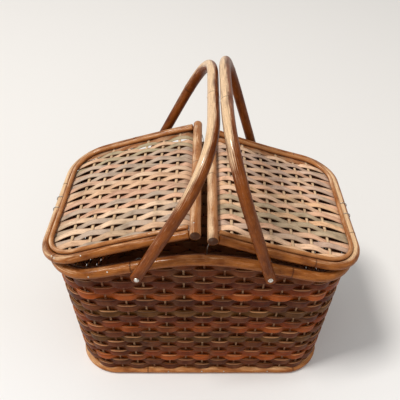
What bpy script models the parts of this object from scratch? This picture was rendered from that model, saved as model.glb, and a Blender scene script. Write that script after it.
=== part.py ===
"""Pie basket: a rattan basket with two lids hinged at its ends and two swinging bow handles.

Metres, +Z up, +X along the basket. Someone who stands in front of it looks along +Y.
The origin is under the middle of the basket, on the surface that it stands on.
"""

import math

import bmesh
import bpy
from mathutils import Matrix, Vector

# Rings of the body: sizes are to the centreline of each pole
RIM_HALF_LENGTH = 0.2100
RIM_HALF_WIDTH = 0.1400
RIM_CORNER = 0.0620
RIM_POLE_RADIUS = 0.0074
RIM_HEIGHT = 0.2425
RIM_HUMP = 0.0350
END_SPREAD = 0.0115
SIDE_SPREAD = 0.0107
BASE_CORNER = 0.0580
BASE_POLE_RADIUS = 0.0065
BASE_FLAT_DEPTH = 0.0005

# Wall, its stakes and the band inside its top
WALL_THICKNESS = 0.0045
WALL_FOOT_OVERHANG = 0.0035
WALL_TOP_INSET = 0.0010
STAKE_RADIUS = 0.0018
STAKE_COUNT = 46
HOOP_SHARE = 0.02
BAND_THICKNESS = 0.0025
BAND_LAP = 0.0140
BAND_RISE = 0.0010

# Floor
FLOOR_THICKNESS = 0.0040
BATTEN_CLEARANCE = 0.0012
BATTEN_THICKNESS = 0.0030
BATTEN_WIDTH = 0.0120
BATTEN_COUNT = 3
BATTEN_SPACING = 0.1100

# Lids, which are alike but for the bow that each took as it dried
LID_OVERHANG = 0.0090
LID_SIDE_INSET = 0.0070
LID_CORNER = 0.0545
LID_FRAME_RADIUS = 0.0058
ROD_RADIUS = 0.0072
ROD_HALF_SPACING = 0.0112
ROD_OVERRUN = 0.0010
LEFT_LID_BOW = 0.0025
RIGHT_LID_BOW = -0.0040
LEFT_LID_TILT = 17.6
RIGHT_LID_TILT = 15.3
BINDING_RADIUS = 0.0032
BINDING_RISE = 0.0042
PANEL_THICKNESS = 0.0034
PANEL_DOME = 0.0050
LID_STAKE_RADIUS = 0.0014
LID_STAKE_COUNT = 6
LID_FIRST_STAKE = 0.0425
LID_LAST_STAKE_INSET = 0.0177

# Handles
HANDLE_RADIUS = 0.0077
PIVOT_X = 0.0865
PIVOT_DROP = 0.0030
HANDLE_TAIL = 0.0090
HANDLE_LEG = 0.0650
HANDLE_TAPER = 0.0010
LEFT_HANDLE_BEND = 0.0920
RIGHT_HANDLE_BEND = 0.1040
LEFT_HANDLE_REACH = 0.1985
RIGHT_HANDLE_REACH = 0.1955
LEFT_HANDLE_LEAN = 28.4
RIGHT_HANDLE_LEAN = 18.7
LEFT_SEAT_DEPTH = 0.0008
RIGHT_LAP_DEPTH = 0.0032
RIGHT_LAP_LENGTH = 0.0150

# Wires and rivets
HINGE_WIRE_RADIUS = 0.0006
HINGE_RING_OFFSET = 0.0130
STAY_WIRE_RADIUS = 0.0006
STAY_ROOT_X = 0.0030
STAY_ROOT_DROP = 0.0030
STAY_REACH_PAST_ROD = 0.0050
RIVET_RADIUS = 0.0020
RIVET_HEAD_RADIUS = 0.0036
RIVET_HEAD_HEIGHT = 0.0018
WASHER_RADIUS = 0.0050
WASHER_THICKNESS = 0.0010

# Clearances, and how finely round shapes are divided
GAP = 0.0003
WELD = 0.00001
CUT_OVERRUN = 0.0100
CORNER_STEPS = 6
SIDE_STEPS = 10
END_STEPS = 2
ARM_STEPS = 5
BEND_STEPS = 7
RING_STEPS = 16
PANEL_LENGTH_STEPS = 12
PANEL_WIDTH_STEPS = 8
RIVET_DOME_STEPS = 4
POLE_SIDES = 3
WIRE_SIDES = 2
TURNED_STEPS = 12
SMOOTH_ANGLE = 35
DOME_SHARES = (0, 0.45, 0.8)

# Places that follow from the sizes above
BASE_HALF_LENGTH = RIM_HALF_LENGTH - END_SPREAD
BASE_HALF_WIDTH = RIM_HALF_WIDTH - SIDE_SPREAD
BASE_HEIGHT = BASE_POLE_RADIUS - BASE_FLAT_DEPTH
WALL_FOOT_HEIGHT = BASE_HEIGHT + BASE_POLE_RADIUS + GAP
WALL_TOP_DROP = RIM_POLE_RADIUS + 2 * HINGE_WIRE_RADIUS + 2 * GAP
BAND_INSET = WALL_THICKNESS + 2 * STAKE_RADIUS + 2 * GAP
HINGE_X = RIM_HALF_LENGTH + LID_OVERHANG
HINGE_SPREAD = RIM_POLE_RADIUS + LID_FRAME_RADIUS + GAP
HINGE_RISE = math.sqrt(HINGE_SPREAD**2 - LID_OVERHANG**2)
LID_HALF_WIDTH = RIM_HALF_WIDTH - LID_SIDE_INSET
MEAN_LID_TILT = math.radians((LEFT_LID_TILT + RIGHT_LID_TILT) / 2)
LID_LENGTH = (HINGE_X - ROD_HALF_SPACING) / math.cos(MEAN_LID_TILT)
ARM_END = LID_LENGTH - ROD_RADIUS - GAP
BINDING_INSET = LID_FRAME_RADIUS + GAP + BINDING_RADIUS
PANEL_INSET = LID_FRAME_RADIUS + 2 * HINGE_WIRE_RADIUS + 2 * GAP
PANEL_EDGE = BINDING_RISE - BINDING_RADIUS - 2 * GAP
HANDLE_HALF_WIDTH = RIM_HALF_WIDTH + RIM_POLE_RADIUS + GAP + HANDLE_RADIUS


def rim_rise(x):
    """How far the rim's centreline stands above its lowest place, at a place along the basket."""
    share = min(abs(x) / RIM_HALF_LENGTH, 1)
    return RIM_HUMP * (1 + math.cos(math.pi * share)) / 2


def rim_height(x):
    """The height of the rim's centreline at a place along the basket."""
    return RIM_HEIGHT + rim_rise(x)


HINGE_HEIGHT = rim_height(RIM_HALF_LENGTH) + HINGE_RISE
PIVOT_HEIGHT = rim_height(PIVOT_X) - PIVOT_DROP


def clear_scene():
    """Removes every object that the file already holds."""
    for old in list(bpy.data.objects):
        bpy.data.objects.remove(old, do_unlink=True)


def make_material(name, colour, roughness, metallic=0):
    """A plain Principled material."""
    material = bpy.data.materials.new(name)
    material.use_nodes = True
    shader = material.node_tree.nodes["Principled BSDF"]
    shader.inputs["Base Color"].default_value = (*colour, 1)
    shader.inputs["Roughness"].default_value = roughness
    shader.inputs["Metallic"].default_value = metallic
    return material


def make_collection(name):
    """A collection of its own, linked to the scene."""
    collection = bpy.data.collections.new(name)
    bpy.context.scene.collection.children.link(collection)
    return collection


clear_scene()
basket = make_collection("Pie basket")
cutters = make_collection("Pie basket cutters")

golden_rattan = make_material("golden rattan", (0.42, 0.20, 0.075), 0.38)
pale_rattan = make_material("pale rattan", (0.58, 0.33, 0.15), 0.36)
handle_rattan = make_material("smoked handle rattan", (0.25, 0.10, 0.035), 0.34)
pale_weave = make_material("pale splint weave", (0.55, 0.33, 0.18), 0.52)
brown_weave = make_material("brown cane weave", (0.14, 0.045, 0.016), 0.46)
stake_cane = make_material("stake cane", (0.50, 0.32, 0.16), 0.55)
band_wood = make_material("inner band wood", (0.20, 0.09, 0.04), 0.6)
rivet_steel = make_material("rivet steel", (0.72, 0.70, 0.66), 0.28, 1)
wire_steel = make_material("wire steel", (0.40, 0.36, 0.32), 0.38, 1)


# Helpers that make one object each
def add_object(name, data, parent=None, collection=basket):
    """Puts a mesh or curve in the scene, on its parent's own axes."""
    thing = bpy.data.objects.new(name, data)
    collection.objects.link(thing)
    thing.parent = parent
    return thing


def add_empty(name, place, lean):
    """An empty on a joint's axis. It leans by an angle in radians about the axis."""
    empty = add_object(name, None)
    empty.location = place
    empty.rotation_euler = (0, lean, 0)
    return empty


def domed_path(points, radius):
    """A path whose two ends are drawn in to a dome, as pairs of a point and a share of the radius."""
    radius_steps = [math.pi / 2 * share for share in DOME_SHARES]

    def dome(end, inner):
        direction = (Vector(end) - Vector(inner)).normalized()
        return [
            (Vector(end) - direction * radius * (1 - math.sin(angle)), math.cos(angle)) for angle in radius_steps
        ]

    between = [(Vector(point), 1) for point in points[1:-1]]
    return dome(points[0], points[1])[::-1] + between + dome(points[-1], points[-2])


def add_tube(name, path, radius, material, sides=POLE_SIDES, closed=False, domed=False, parent=None):
    """A round tube along a path of points."""
    curve = bpy.data.curves.new(name, "CURVE")
    curve.dimensions = "3D"
    curve.bevel_depth = radius
    curve.bevel_resolution = sides
    curve.use_fill_caps = not closed
    pairs = domed_path(path, radius) if domed else [(point, 1) for point in path]
    spline = curve.splines.new("POLY")
    spline.points.add(len(pairs) - 1)
    for knot, (point, share) in zip(spline.points, pairs):
        knot.co = (*point, 1)
        knot.radius = share
    spline.use_cyclic_u = closed
    curve.materials.append(material)
    return add_object(name, curve, parent)


def as_mesh(tube):
    """The same solid as a mesh with its caps welded, so that it can be cut."""
    bpy.context.view_layer.update()
    evaluated = tube.evaluated_get(bpy.context.evaluated_depsgraph_get())
    mesh = bpy.data.meshes.new_from_object(evaluated)
    shell = bmesh.new()
    shell.from_mesh(mesh)
    bmesh.ops.remove_doubles(shell, verts=shell.verts, dist=WELD)
    bmesh.ops.recalc_face_normals(shell, faces=shell.faces)
    shell.to_mesh(mesh)
    shell.free()
    name = tube.name
    parent = tube.parent
    place = tube.matrix_world.copy()
    bpy.data.objects.remove(tube)
    solid = add_object(name, mesh, parent)
    solid.matrix_world = place
    return solid


def add_mesh(name, shell, material, parent=None):
    """Turns a bmesh into an object that is shaded smooth over its gentle edges."""
    mesh = bpy.data.meshes.new(name)
    shell.to_mesh(mesh)
    shell.free()
    mesh.materials.append(material)
    mesh.shade_smooth()
    mesh.set_sharp_from_angle(angle=math.radians(SMOOTH_ANGLE))
    return add_object(name, mesh, parent)


def add_cutter(name, shell, parent=None):
    """A helper solid that only cuts others."""
    mesh = bpy.data.meshes.new(name)
    shell.to_mesh(mesh)
    shell.free()
    cutter = add_object(name, mesh, parent, cutters)
    cutter.hide_render = True
    cutter.display_type = "WIRE"
    return cutter


def cut(solid, cutter):
    """Takes one cutter out of a solid."""
    modifier = solid.modifiers.new(cutter.name, "BOOLEAN")
    modifier.operation = "DIFFERENCE"
    modifier.solver = "EXACT"
    modifier.object = cutter


def add_thickness(thing, thickness):
    """Gives an open surface a wall on its inner side."""
    modifier = thing.modifiers.new("wall", "SOLIDIFY")
    modifier.thickness = thickness
    modifier.offset = -1
    modifier.use_even_offset = True


def add_turned(name, profile, material, place, outward):
    """A solid turned about an axis that points outward, from half its outline."""
    mesh = bpy.data.meshes.new(name)
    edges = [(first, first + 1) for first in range(len(profile) - 1)]
    if profile[0][0] > 0:
        edges.append((len(profile) - 1, 0))
    mesh.from_pydata([(radius, 0, height) for radius, height in profile], edges, [])
    mesh.materials.append(material)
    turned = add_object(name, mesh)
    turned.location = place
    turned.rotation_euler = Vector(outward).to_track_quat("Z", "Y").to_euler()
    screw = turned.modifiers.new("turn", "SCREW")
    screw.steps = TURNED_STEPS
    screw.render_steps = TURNED_STEPS
    screw.use_merge_vertices = True
    screw.merge_threshold = WELD
    return turned


def rounded_outline(half_length, half_width, corner):
    """Points of a rectangle with round corners, anticlockwise from its right end."""
    quarters = ((1, 1), (-1, 1), (-1, -1), (1, -1))

    def corner_point(quarter, angle):
        side_x, side_y = quarters[quarter % len(quarters)]
        centre = Vector((side_x * (half_length - corner), side_y * (half_width - corner)))
        return centre + corner * Vector((math.cos(angle), math.sin(angle)))

    points = []
    for quarter in range(len(quarters)):
        for step in range(CORNER_STEPS + 1):
            points.append(corner_point(quarter, math.pi / 2 * (quarter + step / CORNER_STEPS)))
        turned = math.pi / 2 * (quarter + 1)
        start = corner_point(quarter, turned)
        end = corner_point(quarter + 1, turned)
        steps = END_STEPS if quarter % 2 else SIDE_STEPS
        points += [start.lerp(end, step / steps) for step in range(1, steps)]
    return points


def stake_edges(outline):
    """The two edges of every wall stake round an outline, with the first stake in the middle of its front."""
    size = len(outline)
    first = min(range(size), key=lambda i: (round(outline[i].y / WELD), abs(outline[i].x)))
    runs = [(outline[(first + i + 1) % size] - outline[(first + i) % size]).length for i in range(size)]
    points = []
    for number in range(STAKE_COUNT):
        for side in (-1, 1):
            distance = (sum(runs) * number / STAKE_COUNT + side * STAKE_RADIUS) % sum(runs)
            edge = 0
            while runs[edge] < distance:
                distance -= runs[edge]
                edge += 1
            start = outline[(first + edge) % size]
            end = outline[(first + edge + 1) % size]
            points.append(start.lerp(end, distance / runs[edge]))
    return points


# The wall leans out from the base ring to the rim, along straight lines
def wall_foot_outline(inset):
    """The wall's outline at its foot, as far inside its outer face as inset says."""
    spread = WALL_FOOT_OVERHANG - inset
    return rounded_outline(BASE_HALF_LENGTH + spread, BASE_HALF_WIDTH + spread, BASE_CORNER + spread)


def wall_top_outline(inset):
    """The wall's outline at its top edge, as far inside its outer face as inset says."""
    spread = -WALL_TOP_INSET - inset
    return rounded_outline(RIM_HALF_LENGTH + spread, RIM_HALF_WIDTH + spread, RIM_CORNER + spread)


def wall_line(foot, top, lift):
    """The foot of a wall line, and its point at a height above the top edge."""
    low = Vector((foot.x, foot.y, WALL_FOOT_HEIGHT))
    high = Vector((top.x, top.y, rim_height(top.x) - WALL_TOP_DROP))
    return low, high + (high - low) * (lift / (high.z - low.z))


def wall_half_width(x, z, inset):
    """How far the straight front of the wall stands from the basket's middle, at a place on it."""
    low = BASE_HALF_WIDTH + WALL_FOOT_OVERHANG - inset
    high = RIM_HALF_WIDTH - WALL_TOP_INSET - inset
    height = rim_height(x) - WALL_TOP_DROP - WALL_FOOT_HEIGHT
    return low + (high - low) * (z - WALL_FOOT_HEIGHT) / height


def ring_shell(lower, upper):
    """An open band of faces between two closed rings of points, facing outwards."""
    shell = bmesh.new()
    low = [shell.verts.new(point) for point in lower]
    high = [shell.verts.new(point) for point in upper]
    for i in range(len(low)):
        j = (i + 1) % len(low)
        shell.faces.new((low[i], low[j], high[j], high[i]))
    return shell


# Cutters that more than one piece uses
rivet_holes = bmesh.new()
for pivot_side in (-1, 1):
    bmesh.ops.create_cone(
        rivet_holes,
        cap_ends=True,
        segments=TURNED_STEPS,
        radius1=RIVET_RADIUS + GAP,
        radius2=RIVET_RADIUS + GAP,
        depth=2 * (HANDLE_HALF_WIDTH + HANDLE_RADIUS + CUT_OVERRUN),
        matrix=Matrix.Translation((pivot_side * PIVOT_X, 0, PIVOT_HEIGHT)) @ Matrix.Rotation(math.pi / 2, 4, "X"),
    )
rivet_hole_cutter = add_cutter("rivet_hole_cutter", rivet_holes)

# Base ring: a bent pole, flattened where it stands
base_path = [(*point, BASE_HEIGHT) for point in rounded_outline(BASE_HALF_LENGTH, BASE_HALF_WIDTH, BASE_CORNER)]
base_pole = as_mesh(add_tube("base_pole", base_path, BASE_POLE_RADIUS, golden_rattan, closed=True))
ground = bmesh.new()
bmesh.ops.create_cube(ground, size=1)
bmesh.ops.scale(
    ground,
    vec=(
        2 * (BASE_HALF_LENGTH + BASE_POLE_RADIUS + CUT_OVERRUN),
        2 * (BASE_HALF_WIDTH + BASE_POLE_RADIUS + CUT_OVERRUN),
        CUT_OVERRUN,
    ),
    verts=ground.verts,
)
bmesh.ops.translate(ground, vec=(0, 0, -CUT_OVERRUN / 2), verts=ground.verts)
cut(base_pole, add_cutter("ground_cutter", ground))

# Floor: a panel inside the base ring, on battens
FLOOR_HEIGHT = BATTEN_CLEARANCE + BATTEN_THICKNESS + GAP + FLOOR_THICKNESS / 2
floor_inset = BASE_POLE_RADIUS + GAP
floor_outline = rounded_outline(
    BASE_HALF_LENGTH - floor_inset, BASE_HALF_WIDTH - floor_inset, BASE_CORNER - floor_inset
)
floor_curve = bpy.data.curves.new("floor_panel", "CURVE")
floor_curve.dimensions = "2D"
floor_curve.fill_mode = "BOTH"
floor_curve.extrude = FLOOR_THICKNESS / 2
floor_spline = floor_curve.splines.new("POLY")
floor_spline.points.add(len(floor_outline) - 1)
for knot, point in zip(floor_spline.points, floor_outline):
    knot.co = (*point, 0, 1)
floor_spline.use_cyclic_u = True
floor_curve.materials.append(pale_weave)
floor_panel = add_object("floor_panel", floor_curve)
floor_panel.location = (0, 0, FLOOR_HEIGHT)

for number in range(BATTEN_COUNT):
    batten = bmesh.new()
    bmesh.ops.create_cube(batten, size=1)
    size = (BATTEN_WIDTH, 2 * (BASE_HALF_WIDTH - floor_inset), BATTEN_THICKNESS)
    bmesh.ops.scale(batten, vec=size, verts=batten.verts)
    x = (number - (BATTEN_COUNT - 1) / 2) * BATTEN_SPACING
    add_mesh(f"floor_batten_{number + 1}", batten, band_wood).location = (
        x,
        0,
        BATTEN_CLEARANCE + BATTEN_THICKNESS / 2,
    )

# Woven wall, the stakes inside it, and the band that finishes its top
feet = wall_foot_outline(0)
tops = wall_top_outline(0)
wall_lines = [wall_line(foot, top, 0) for foot, top in zip(feet, tops)]
wall_shell = ring_shell([low for low, high in wall_lines], [high for low, high in wall_lines])
woven_wall = add_mesh("woven_wall", wall_shell, brown_weave)
add_thickness(woven_wall, WALL_THICKNESS)

stake_outer_inset = WALL_THICKNESS + GAP
stake_inner_inset = stake_outer_inset + 2 * STAKE_RADIUS
cage = bmesh.new()
corners = []
for inset in (stake_outer_inset, stake_inner_inset):
    foot_outline = wall_foot_outline(inset)
    top_outline = wall_top_outline(inset)
    foot_points = stake_edges(foot_outline)
    top_points = stake_edges(top_outline)
    lines = [wall_line(foot, top, 0) for foot, top in zip(foot_points, top_points)]
    corners.append(
        [(cage.verts.new(low), cage.verts.new(low.lerp(high, HOOP_SHARE)), high) for low, high in lines]
    )
outer, inner = corners
stake_heads = []
for first in range(len(outer)):
    second = (first + 1) % len(outer)
    cage.faces.new((outer[first][0], outer[second][0], outer[second][1], outer[first][1]))
    cage.faces.new((inner[second][0], inner[first][0], inner[first][1], inner[second][1]))
    cage.faces.new((outer[second][0], outer[first][0], inner[first][0], inner[second][0]))
    head = cage.faces.new((outer[first][1], outer[second][1], inner[second][1], inner[first][1]))
    if first % 2 == 0:
        stake_heads.append((head, [outer[first][2], outer[second][2], inner[second][2], inner[first][2]]))
for head, ends in stake_heads:
    raised = bmesh.ops.extrude_discrete_faces(cage, faces=[head])["faces"][0]
    for corner, end in zip(raised.verts, ends):
        corner.co = end
add_mesh("wall_stakes", cage, stake_cane)

band_feet = wall_foot_outline(BAND_INSET)
band_tops = wall_top_outline(BAND_INSET)
band_low = [wall_line(foot, top, -BAND_LAP)[1] for foot, top in zip(band_feet, band_tops)]
band_high = [wall_line(foot, top, WALL_TOP_DROP + BAND_RISE)[1] for foot, top in zip(band_feet, band_tops)]
rim_inner_band = add_mesh("rim_inner_band", ring_shell(band_low, band_high), band_wood)
add_thickness(rim_inner_band, BAND_THICKNESS)
cut(rim_inner_band, rivet_hole_cutter)
band_notches = bmesh.new()
for rim_end in (-1, 1):
    for ring_side in (-1, 1):
        notch_place = (rim_end * RIM_HALF_LENGTH, ring_side * HINGE_RING_OFFSET, rim_height(RIM_HALF_LENGTH))
        bmesh.ops.create_cone(
            band_notches,
            cap_ends=True,
            segments=2 * TURNED_STEPS,
            radius1=RIM_POLE_RADIUS + 2 * HINGE_WIRE_RADIUS + 3 * GAP,
            radius2=RIM_POLE_RADIUS + 2 * HINGE_WIRE_RADIUS + 3 * GAP,
            depth=2 * (HINGE_WIRE_RADIUS + GAP),
            matrix=Matrix.Translation(notch_place) @ Matrix.Rotation(math.pi / 2, 4, "X"),
        )
cut(rim_inner_band, add_cutter("band_notches", band_notches))

# Rim: a bent pole that humps up in the middle of both long sides
rim_outline = rounded_outline(RIM_HALF_LENGTH, RIM_HALF_WIDTH, RIM_CORNER)
rim_path = [(point.x, point.y, rim_height(point.x)) for point in rim_outline]
rim_pole = as_mesh(add_tube("rim_pole", rim_path, RIM_POLE_RADIUS, golden_rattan, closed=True))
cut(rim_pole, rivet_hole_cutter)


# Lids: a bent frame and a straight rod, with a domed woven panel, its stakes and its binding
def lid_bow_at(u, bow):
    """How far a lid's arms arch off a straight line, at a distance from its hinge."""
    share = min(max(u / ARM_END, 0), 1)
    return 4 * bow * share * (1 - share)


def lid_half_width_at(u, inset):
    """Half the width inside the lid's frame at a distance from its hinge, in from its centreline."""
    corner = LID_CORNER - inset
    past = min(max(corner - (u - inset), 0), corner)
    return LID_HALF_WIDTH - inset - corner + math.sqrt(corner**2 - past**2)


def lid_path(side, inset, rise, bow):
    """The path of a pole bent round a lid's outer end, in from the frame's centreline."""
    corner = LID_CORNER - inset
    half_width = LID_HALF_WIDTH - inset
    flat = []
    for step in range(ARM_STEPS):
        flat.append((ARM_END + (LID_CORNER - ARM_END) * step / ARM_STEPS, half_width))
    for step in range(CORNER_STEPS + 1):
        angle = math.pi / 2 * step / CORNER_STEPS
        u = LID_CORNER - corner * math.sin(angle)
        flat.append((u, half_width - corner * (1 - math.cos(angle))))
    flat += [(u, -v) for u, v in reversed(flat)]
    return [(-side * u, v, rise + lid_bow_at(u, bow)) for u, v in flat]


def panel_top_at(u, v, bow):
    """The height of the woven panel's upper face, off the frame's plane."""
    half = (ARM_END - PANEL_INSET) / 2
    along = (u - PANEL_INSET - half) / half
    across = v / lid_half_width_at(u, PANEL_INSET)
    dome = PANEL_DOME * (1 - along**4) * (1 - across**4)
    return PANEL_EDGE + dome + lid_bow_at(u, bow)


def add_panel(name, side, bow, parent):
    """The woven panel: a grid drawn into the frame's outline, domed and given its thickness."""
    shell = bmesh.new()
    bmesh.ops.create_grid(shell, x_segments=PANEL_LENGTH_STEPS, y_segments=PANEL_WIDTH_STEPS, size=1)
    for corner in shell.verts:
        turn = math.pi / 2 * (corner.co.x + 1)
        u = PANEL_INSET + (ARM_END - PANEL_INSET) * (1 - math.cos(turn)) / 2
        v = corner.co.y * lid_half_width_at(u, PANEL_INSET)
        corner.co = (-side * u, v, panel_top_at(u, v, bow))
    bmesh.ops.recalc_face_normals(shell, faces=shell.faces)
    if sum(face.normal.z for face in shell.faces) < 0:
        bmesh.ops.reverse_faces(shell, faces=shell.faces)
    panel = add_mesh(name, shell, pale_weave, parent)
    add_thickness(panel, PANEL_THICKNESS)
    return panel


def add_slot_cutter(name, underside, tilt, hinge):
    """Slots that let the hinge rings past a piece of the lid whose lower edge is at a height off its plane."""
    reach = LID_FRAME_RADIUS + 2 * HINGE_WIRE_RADIUS + 3 * GAP
    fall = math.atan2(HINGE_RISE, LID_OVERHANG)
    spread = math.acos((LID_FRAME_RADIUS - RIM_POLE_RADIUS) / HINGE_SPREAD)
    lean = max(spread - fall - math.radians(tilt), 0)
    along = (reach - underside * math.sin(lean)) / math.cos(lean)
    radius = math.hypot(along, underside)
    slots = bmesh.new()
    for ring_side in (-1, 1):
        place = Matrix.Translation((0, ring_side * HINGE_RING_OFFSET, 0))
        bmesh.ops.create_cone(
            slots,
            cap_ends=True,
            segments=2 * TURNED_STEPS,
            radius1=radius,
            radius2=radius,
            depth=2 * (HINGE_WIRE_RADIUS + GAP),
            matrix=place @ Matrix.Rotation(math.pi / 2, 4, "X"),
        )
    return add_cutter(name, slots, hinge)


def add_lid(word, side, tilt, bow):
    """All the pieces of one lid, on an empty that lies along the middle of its outer pole."""
    hinge = add_empty(word + "_lid_hinge", (side * HINGE_X, 0, HINGE_HEIGHT), side * math.radians(tilt))
    frame_path = lid_path(side, 0, 0, bow)
    add_tube(word + "_lid_frame", frame_path, LID_FRAME_RADIUS, golden_rattan, parent=hinge)

    rod_half = LID_HALF_WIDTH + LID_FRAME_RADIUS + ROD_OVERRUN
    rod_path = [(-side * LID_LENGTH, share * rod_half, 0) for share in (-1, 0, 1)]
    add_tube(word + "_lid_rod", rod_path, ROD_RADIUS, pale_rattan, domed=True, parent=hinge)

    panel = add_panel(word + "_lid_panel", side, bow, hinge)
    cut(panel, add_slot_cutter(word + "_panel_slots", PANEL_EDGE - PANEL_THICKNESS, tilt, hinge))

    binding_path = lid_path(side, BINDING_INSET, BINDING_RISE, bow)
    binding = add_tube(
        word + "_lid_binding", binding_path, BINDING_RADIUS, pale_rattan, sides=WIRE_SIDES, parent=hinge
    )
    cut(as_mesh(binding), add_slot_cutter(word + "_binding_slots", BINDING_RISE - BINDING_RADIUS, tilt, hinge))

    stake_drop = PANEL_THICKNESS + 2 * GAP + LID_STAKE_RADIUS
    for number in range(LID_STAKE_COUNT):
        share = number / (LID_STAKE_COUNT - 1)
        u = LID_FIRST_STAKE * (1 - share) + (ARM_END - LID_LAST_STAKE_INSET) * share
        half = lid_half_width_at(u, PANEL_INSET)
        steps = [half * (2 * step / BEND_STEPS - 1) for step in range(BEND_STEPS + 1)]
        stake = [(-side * u, v, panel_top_at(u, v, bow) - stake_drop) for v in steps]
        name = f"{word}_lid_stake_{number + 1}"
        add_tube(name, stake, LID_STAKE_RADIUS, stake_cane, sides=WIRE_SIDES, parent=hinge)


add_lid("left", -1, LEFT_LID_TILT, LEFT_LID_BOW)
add_lid("right", 1, RIGHT_LID_TILT, RIGHT_LID_BOW)


# Hinge rings: loops of wire round a lid's outer pole and the rim's end
def belt_path(first, first_radius, second, second_radius):
    """Points of a belt round two wheels, in the plane of the two centres."""
    way = second - first
    heading = math.atan2(way.y, way.x)
    spread = math.acos((first_radius - second_radius) / way.length)
    points = []
    for step in range(RING_STEPS + 1):
        angle = heading + spread + (2 * math.pi - 2 * spread) * step / RING_STEPS
        points.append(first + first_radius * Vector((math.cos(angle), math.sin(angle))))
    for step in range(RING_STEPS + 1):
        angle = heading - spread + 2 * spread * step / RING_STEPS
        points.append(second + second_radius * Vector((math.cos(angle), math.sin(angle))))
    return points


for word, side in (("left", -1), ("right", 1)):
    ring = belt_path(
        Vector((side * HINGE_X, HINGE_HEIGHT)),
        LID_FRAME_RADIUS + GAP + HINGE_WIRE_RADIUS,
        Vector((side * RIM_HALF_LENGTH, rim_height(RIM_HALF_LENGTH))),
        RIM_POLE_RADIUS + GAP + HINGE_WIRE_RADIUS,
    )
    for place, end in (("front", -1), ("back", 1)):
        path = [(point.x, end * HINGE_RING_OFFSET, point.y) for point in ring]
        name = f"{word}_{place}_hinge_ring"
        add_tube(name, path, HINGE_WIRE_RADIUS, wire_steel, sides=WIRE_SIDES, closed=True)


# Stay wires: a stiff wire from inside the rim's hump to under the end of each lid's rod
def add_stay(name, side, end, tilt):
    """One stay wire: it stands up from behind the rim and bends under the rod that it carries."""
    turn = math.radians(tilt)
    rod_x = side * (HINGE_X - LID_LENGTH * math.cos(turn))
    rod_height = HINGE_HEIGHT + LID_LENGTH * math.sin(turn)
    top = rod_height - ROD_RADIUS - GAP - STAY_WIRE_RADIUS
    root_x = side * STAY_ROOT_X
    y = end * (RIM_HALF_WIDTH - RIM_POLE_RADIUS - GAP - STAY_WIRE_RADIUS)
    foot = Vector((root_x, y, rim_height(root_x) - STAY_ROOT_DROP))
    start = Vector((root_x, y, rim_height(root_x) + RIM_POLE_RADIUS))
    bend = Vector((root_x, y, top))
    tip = Vector((rod_x, y, top))
    path = [foot]
    for step in range(BEND_STEPS + 1):
        share = step / BEND_STEPS
        path.append(start * (1 - share) ** 2 + bend * 2 * share * (1 - share) + tip * share**2)
    path.append(tip + Vector((side * STAY_REACH_PAST_ROD, 0, 0)))
    return add_tube(name, path, STAY_WIRE_RADIUS, wire_steel, sides=WIRE_SIDES)


add_stay("front_stay_wire", 1, -1, RIGHT_LID_TILT)
add_stay("back_stay_wire", -1, 1, LEFT_LID_TILT)


# Handles: one bent pole each, riveted outside the rim
def handle_path(reach, bend_length):
    """The handle's path from its front end over its top to its back end, before it leans."""
    top_half = HANDLE_HALF_WIDTH - HANDLE_TAPER
    leg = Vector((HANDLE_HALF_WIDTH, HANDLE_LEG))
    corner = Vector((top_half, reach))
    start = corner + (leg - corner).normalized() * bend_length
    end = corner - Vector((bend_length, 0))
    half = [Vector((HANDLE_HALF_WIDTH, -HANDLE_TAIL)), leg]
    for step in range(BEND_STEPS + 1):
        share = step / BEND_STEPS
        half.append(start * (1 - share) ** 2 + corner * 2 * share * (1 - share) + end * share**2)
    front = [(0, -point.x, point.y) for point in half]
    back = [(0, point.x, point.y) for point in reversed(half)]
    return front + back


def rivet_profile(length):
    """Half the outline of a rivet along its axis: a domed head, a shank and a clenched end."""
    profile = []
    for step in range(RIVET_DOME_STEPS + 1):
        angle = math.pi / 2 * step / RIVET_DOME_STEPS
        profile.append((RIVET_HEAD_RADIUS * math.sin(angle), RIVET_HEAD_HEIGHT * math.cos(angle)))
    profile.append((RIVET_RADIUS, 0))
    profile.append((RIVET_RADIUS, -length))
    profile.append((RIVET_HEAD_RADIUS, -length))
    profile.append((RIVET_RADIUS, -length - RIVET_HEAD_HEIGHT / 2))
    profile.append((0, -length - RIVET_HEAD_HEIGHT / 2))
    return profile


washer_edges = (PIVOT_HEIGHT - WASHER_RADIUS, PIVOT_HEIGHT + WASHER_RADIUS)
washer_face = min(wall_half_width(PIVOT_X, z, BAND_INSET + BAND_THICKNESS) for z in washer_edges) - GAP
rivet_inner_end = washer_face - WASHER_THICKNESS - GAP
washer_profile = [
    (RIVET_RADIUS + GAP, 0),
    (WASHER_RADIUS, 0),
    (WASHER_RADIUS, -WASHER_THICKNESS),
    (RIVET_RADIUS + GAP, -WASHER_THICKNESS),
]


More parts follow.
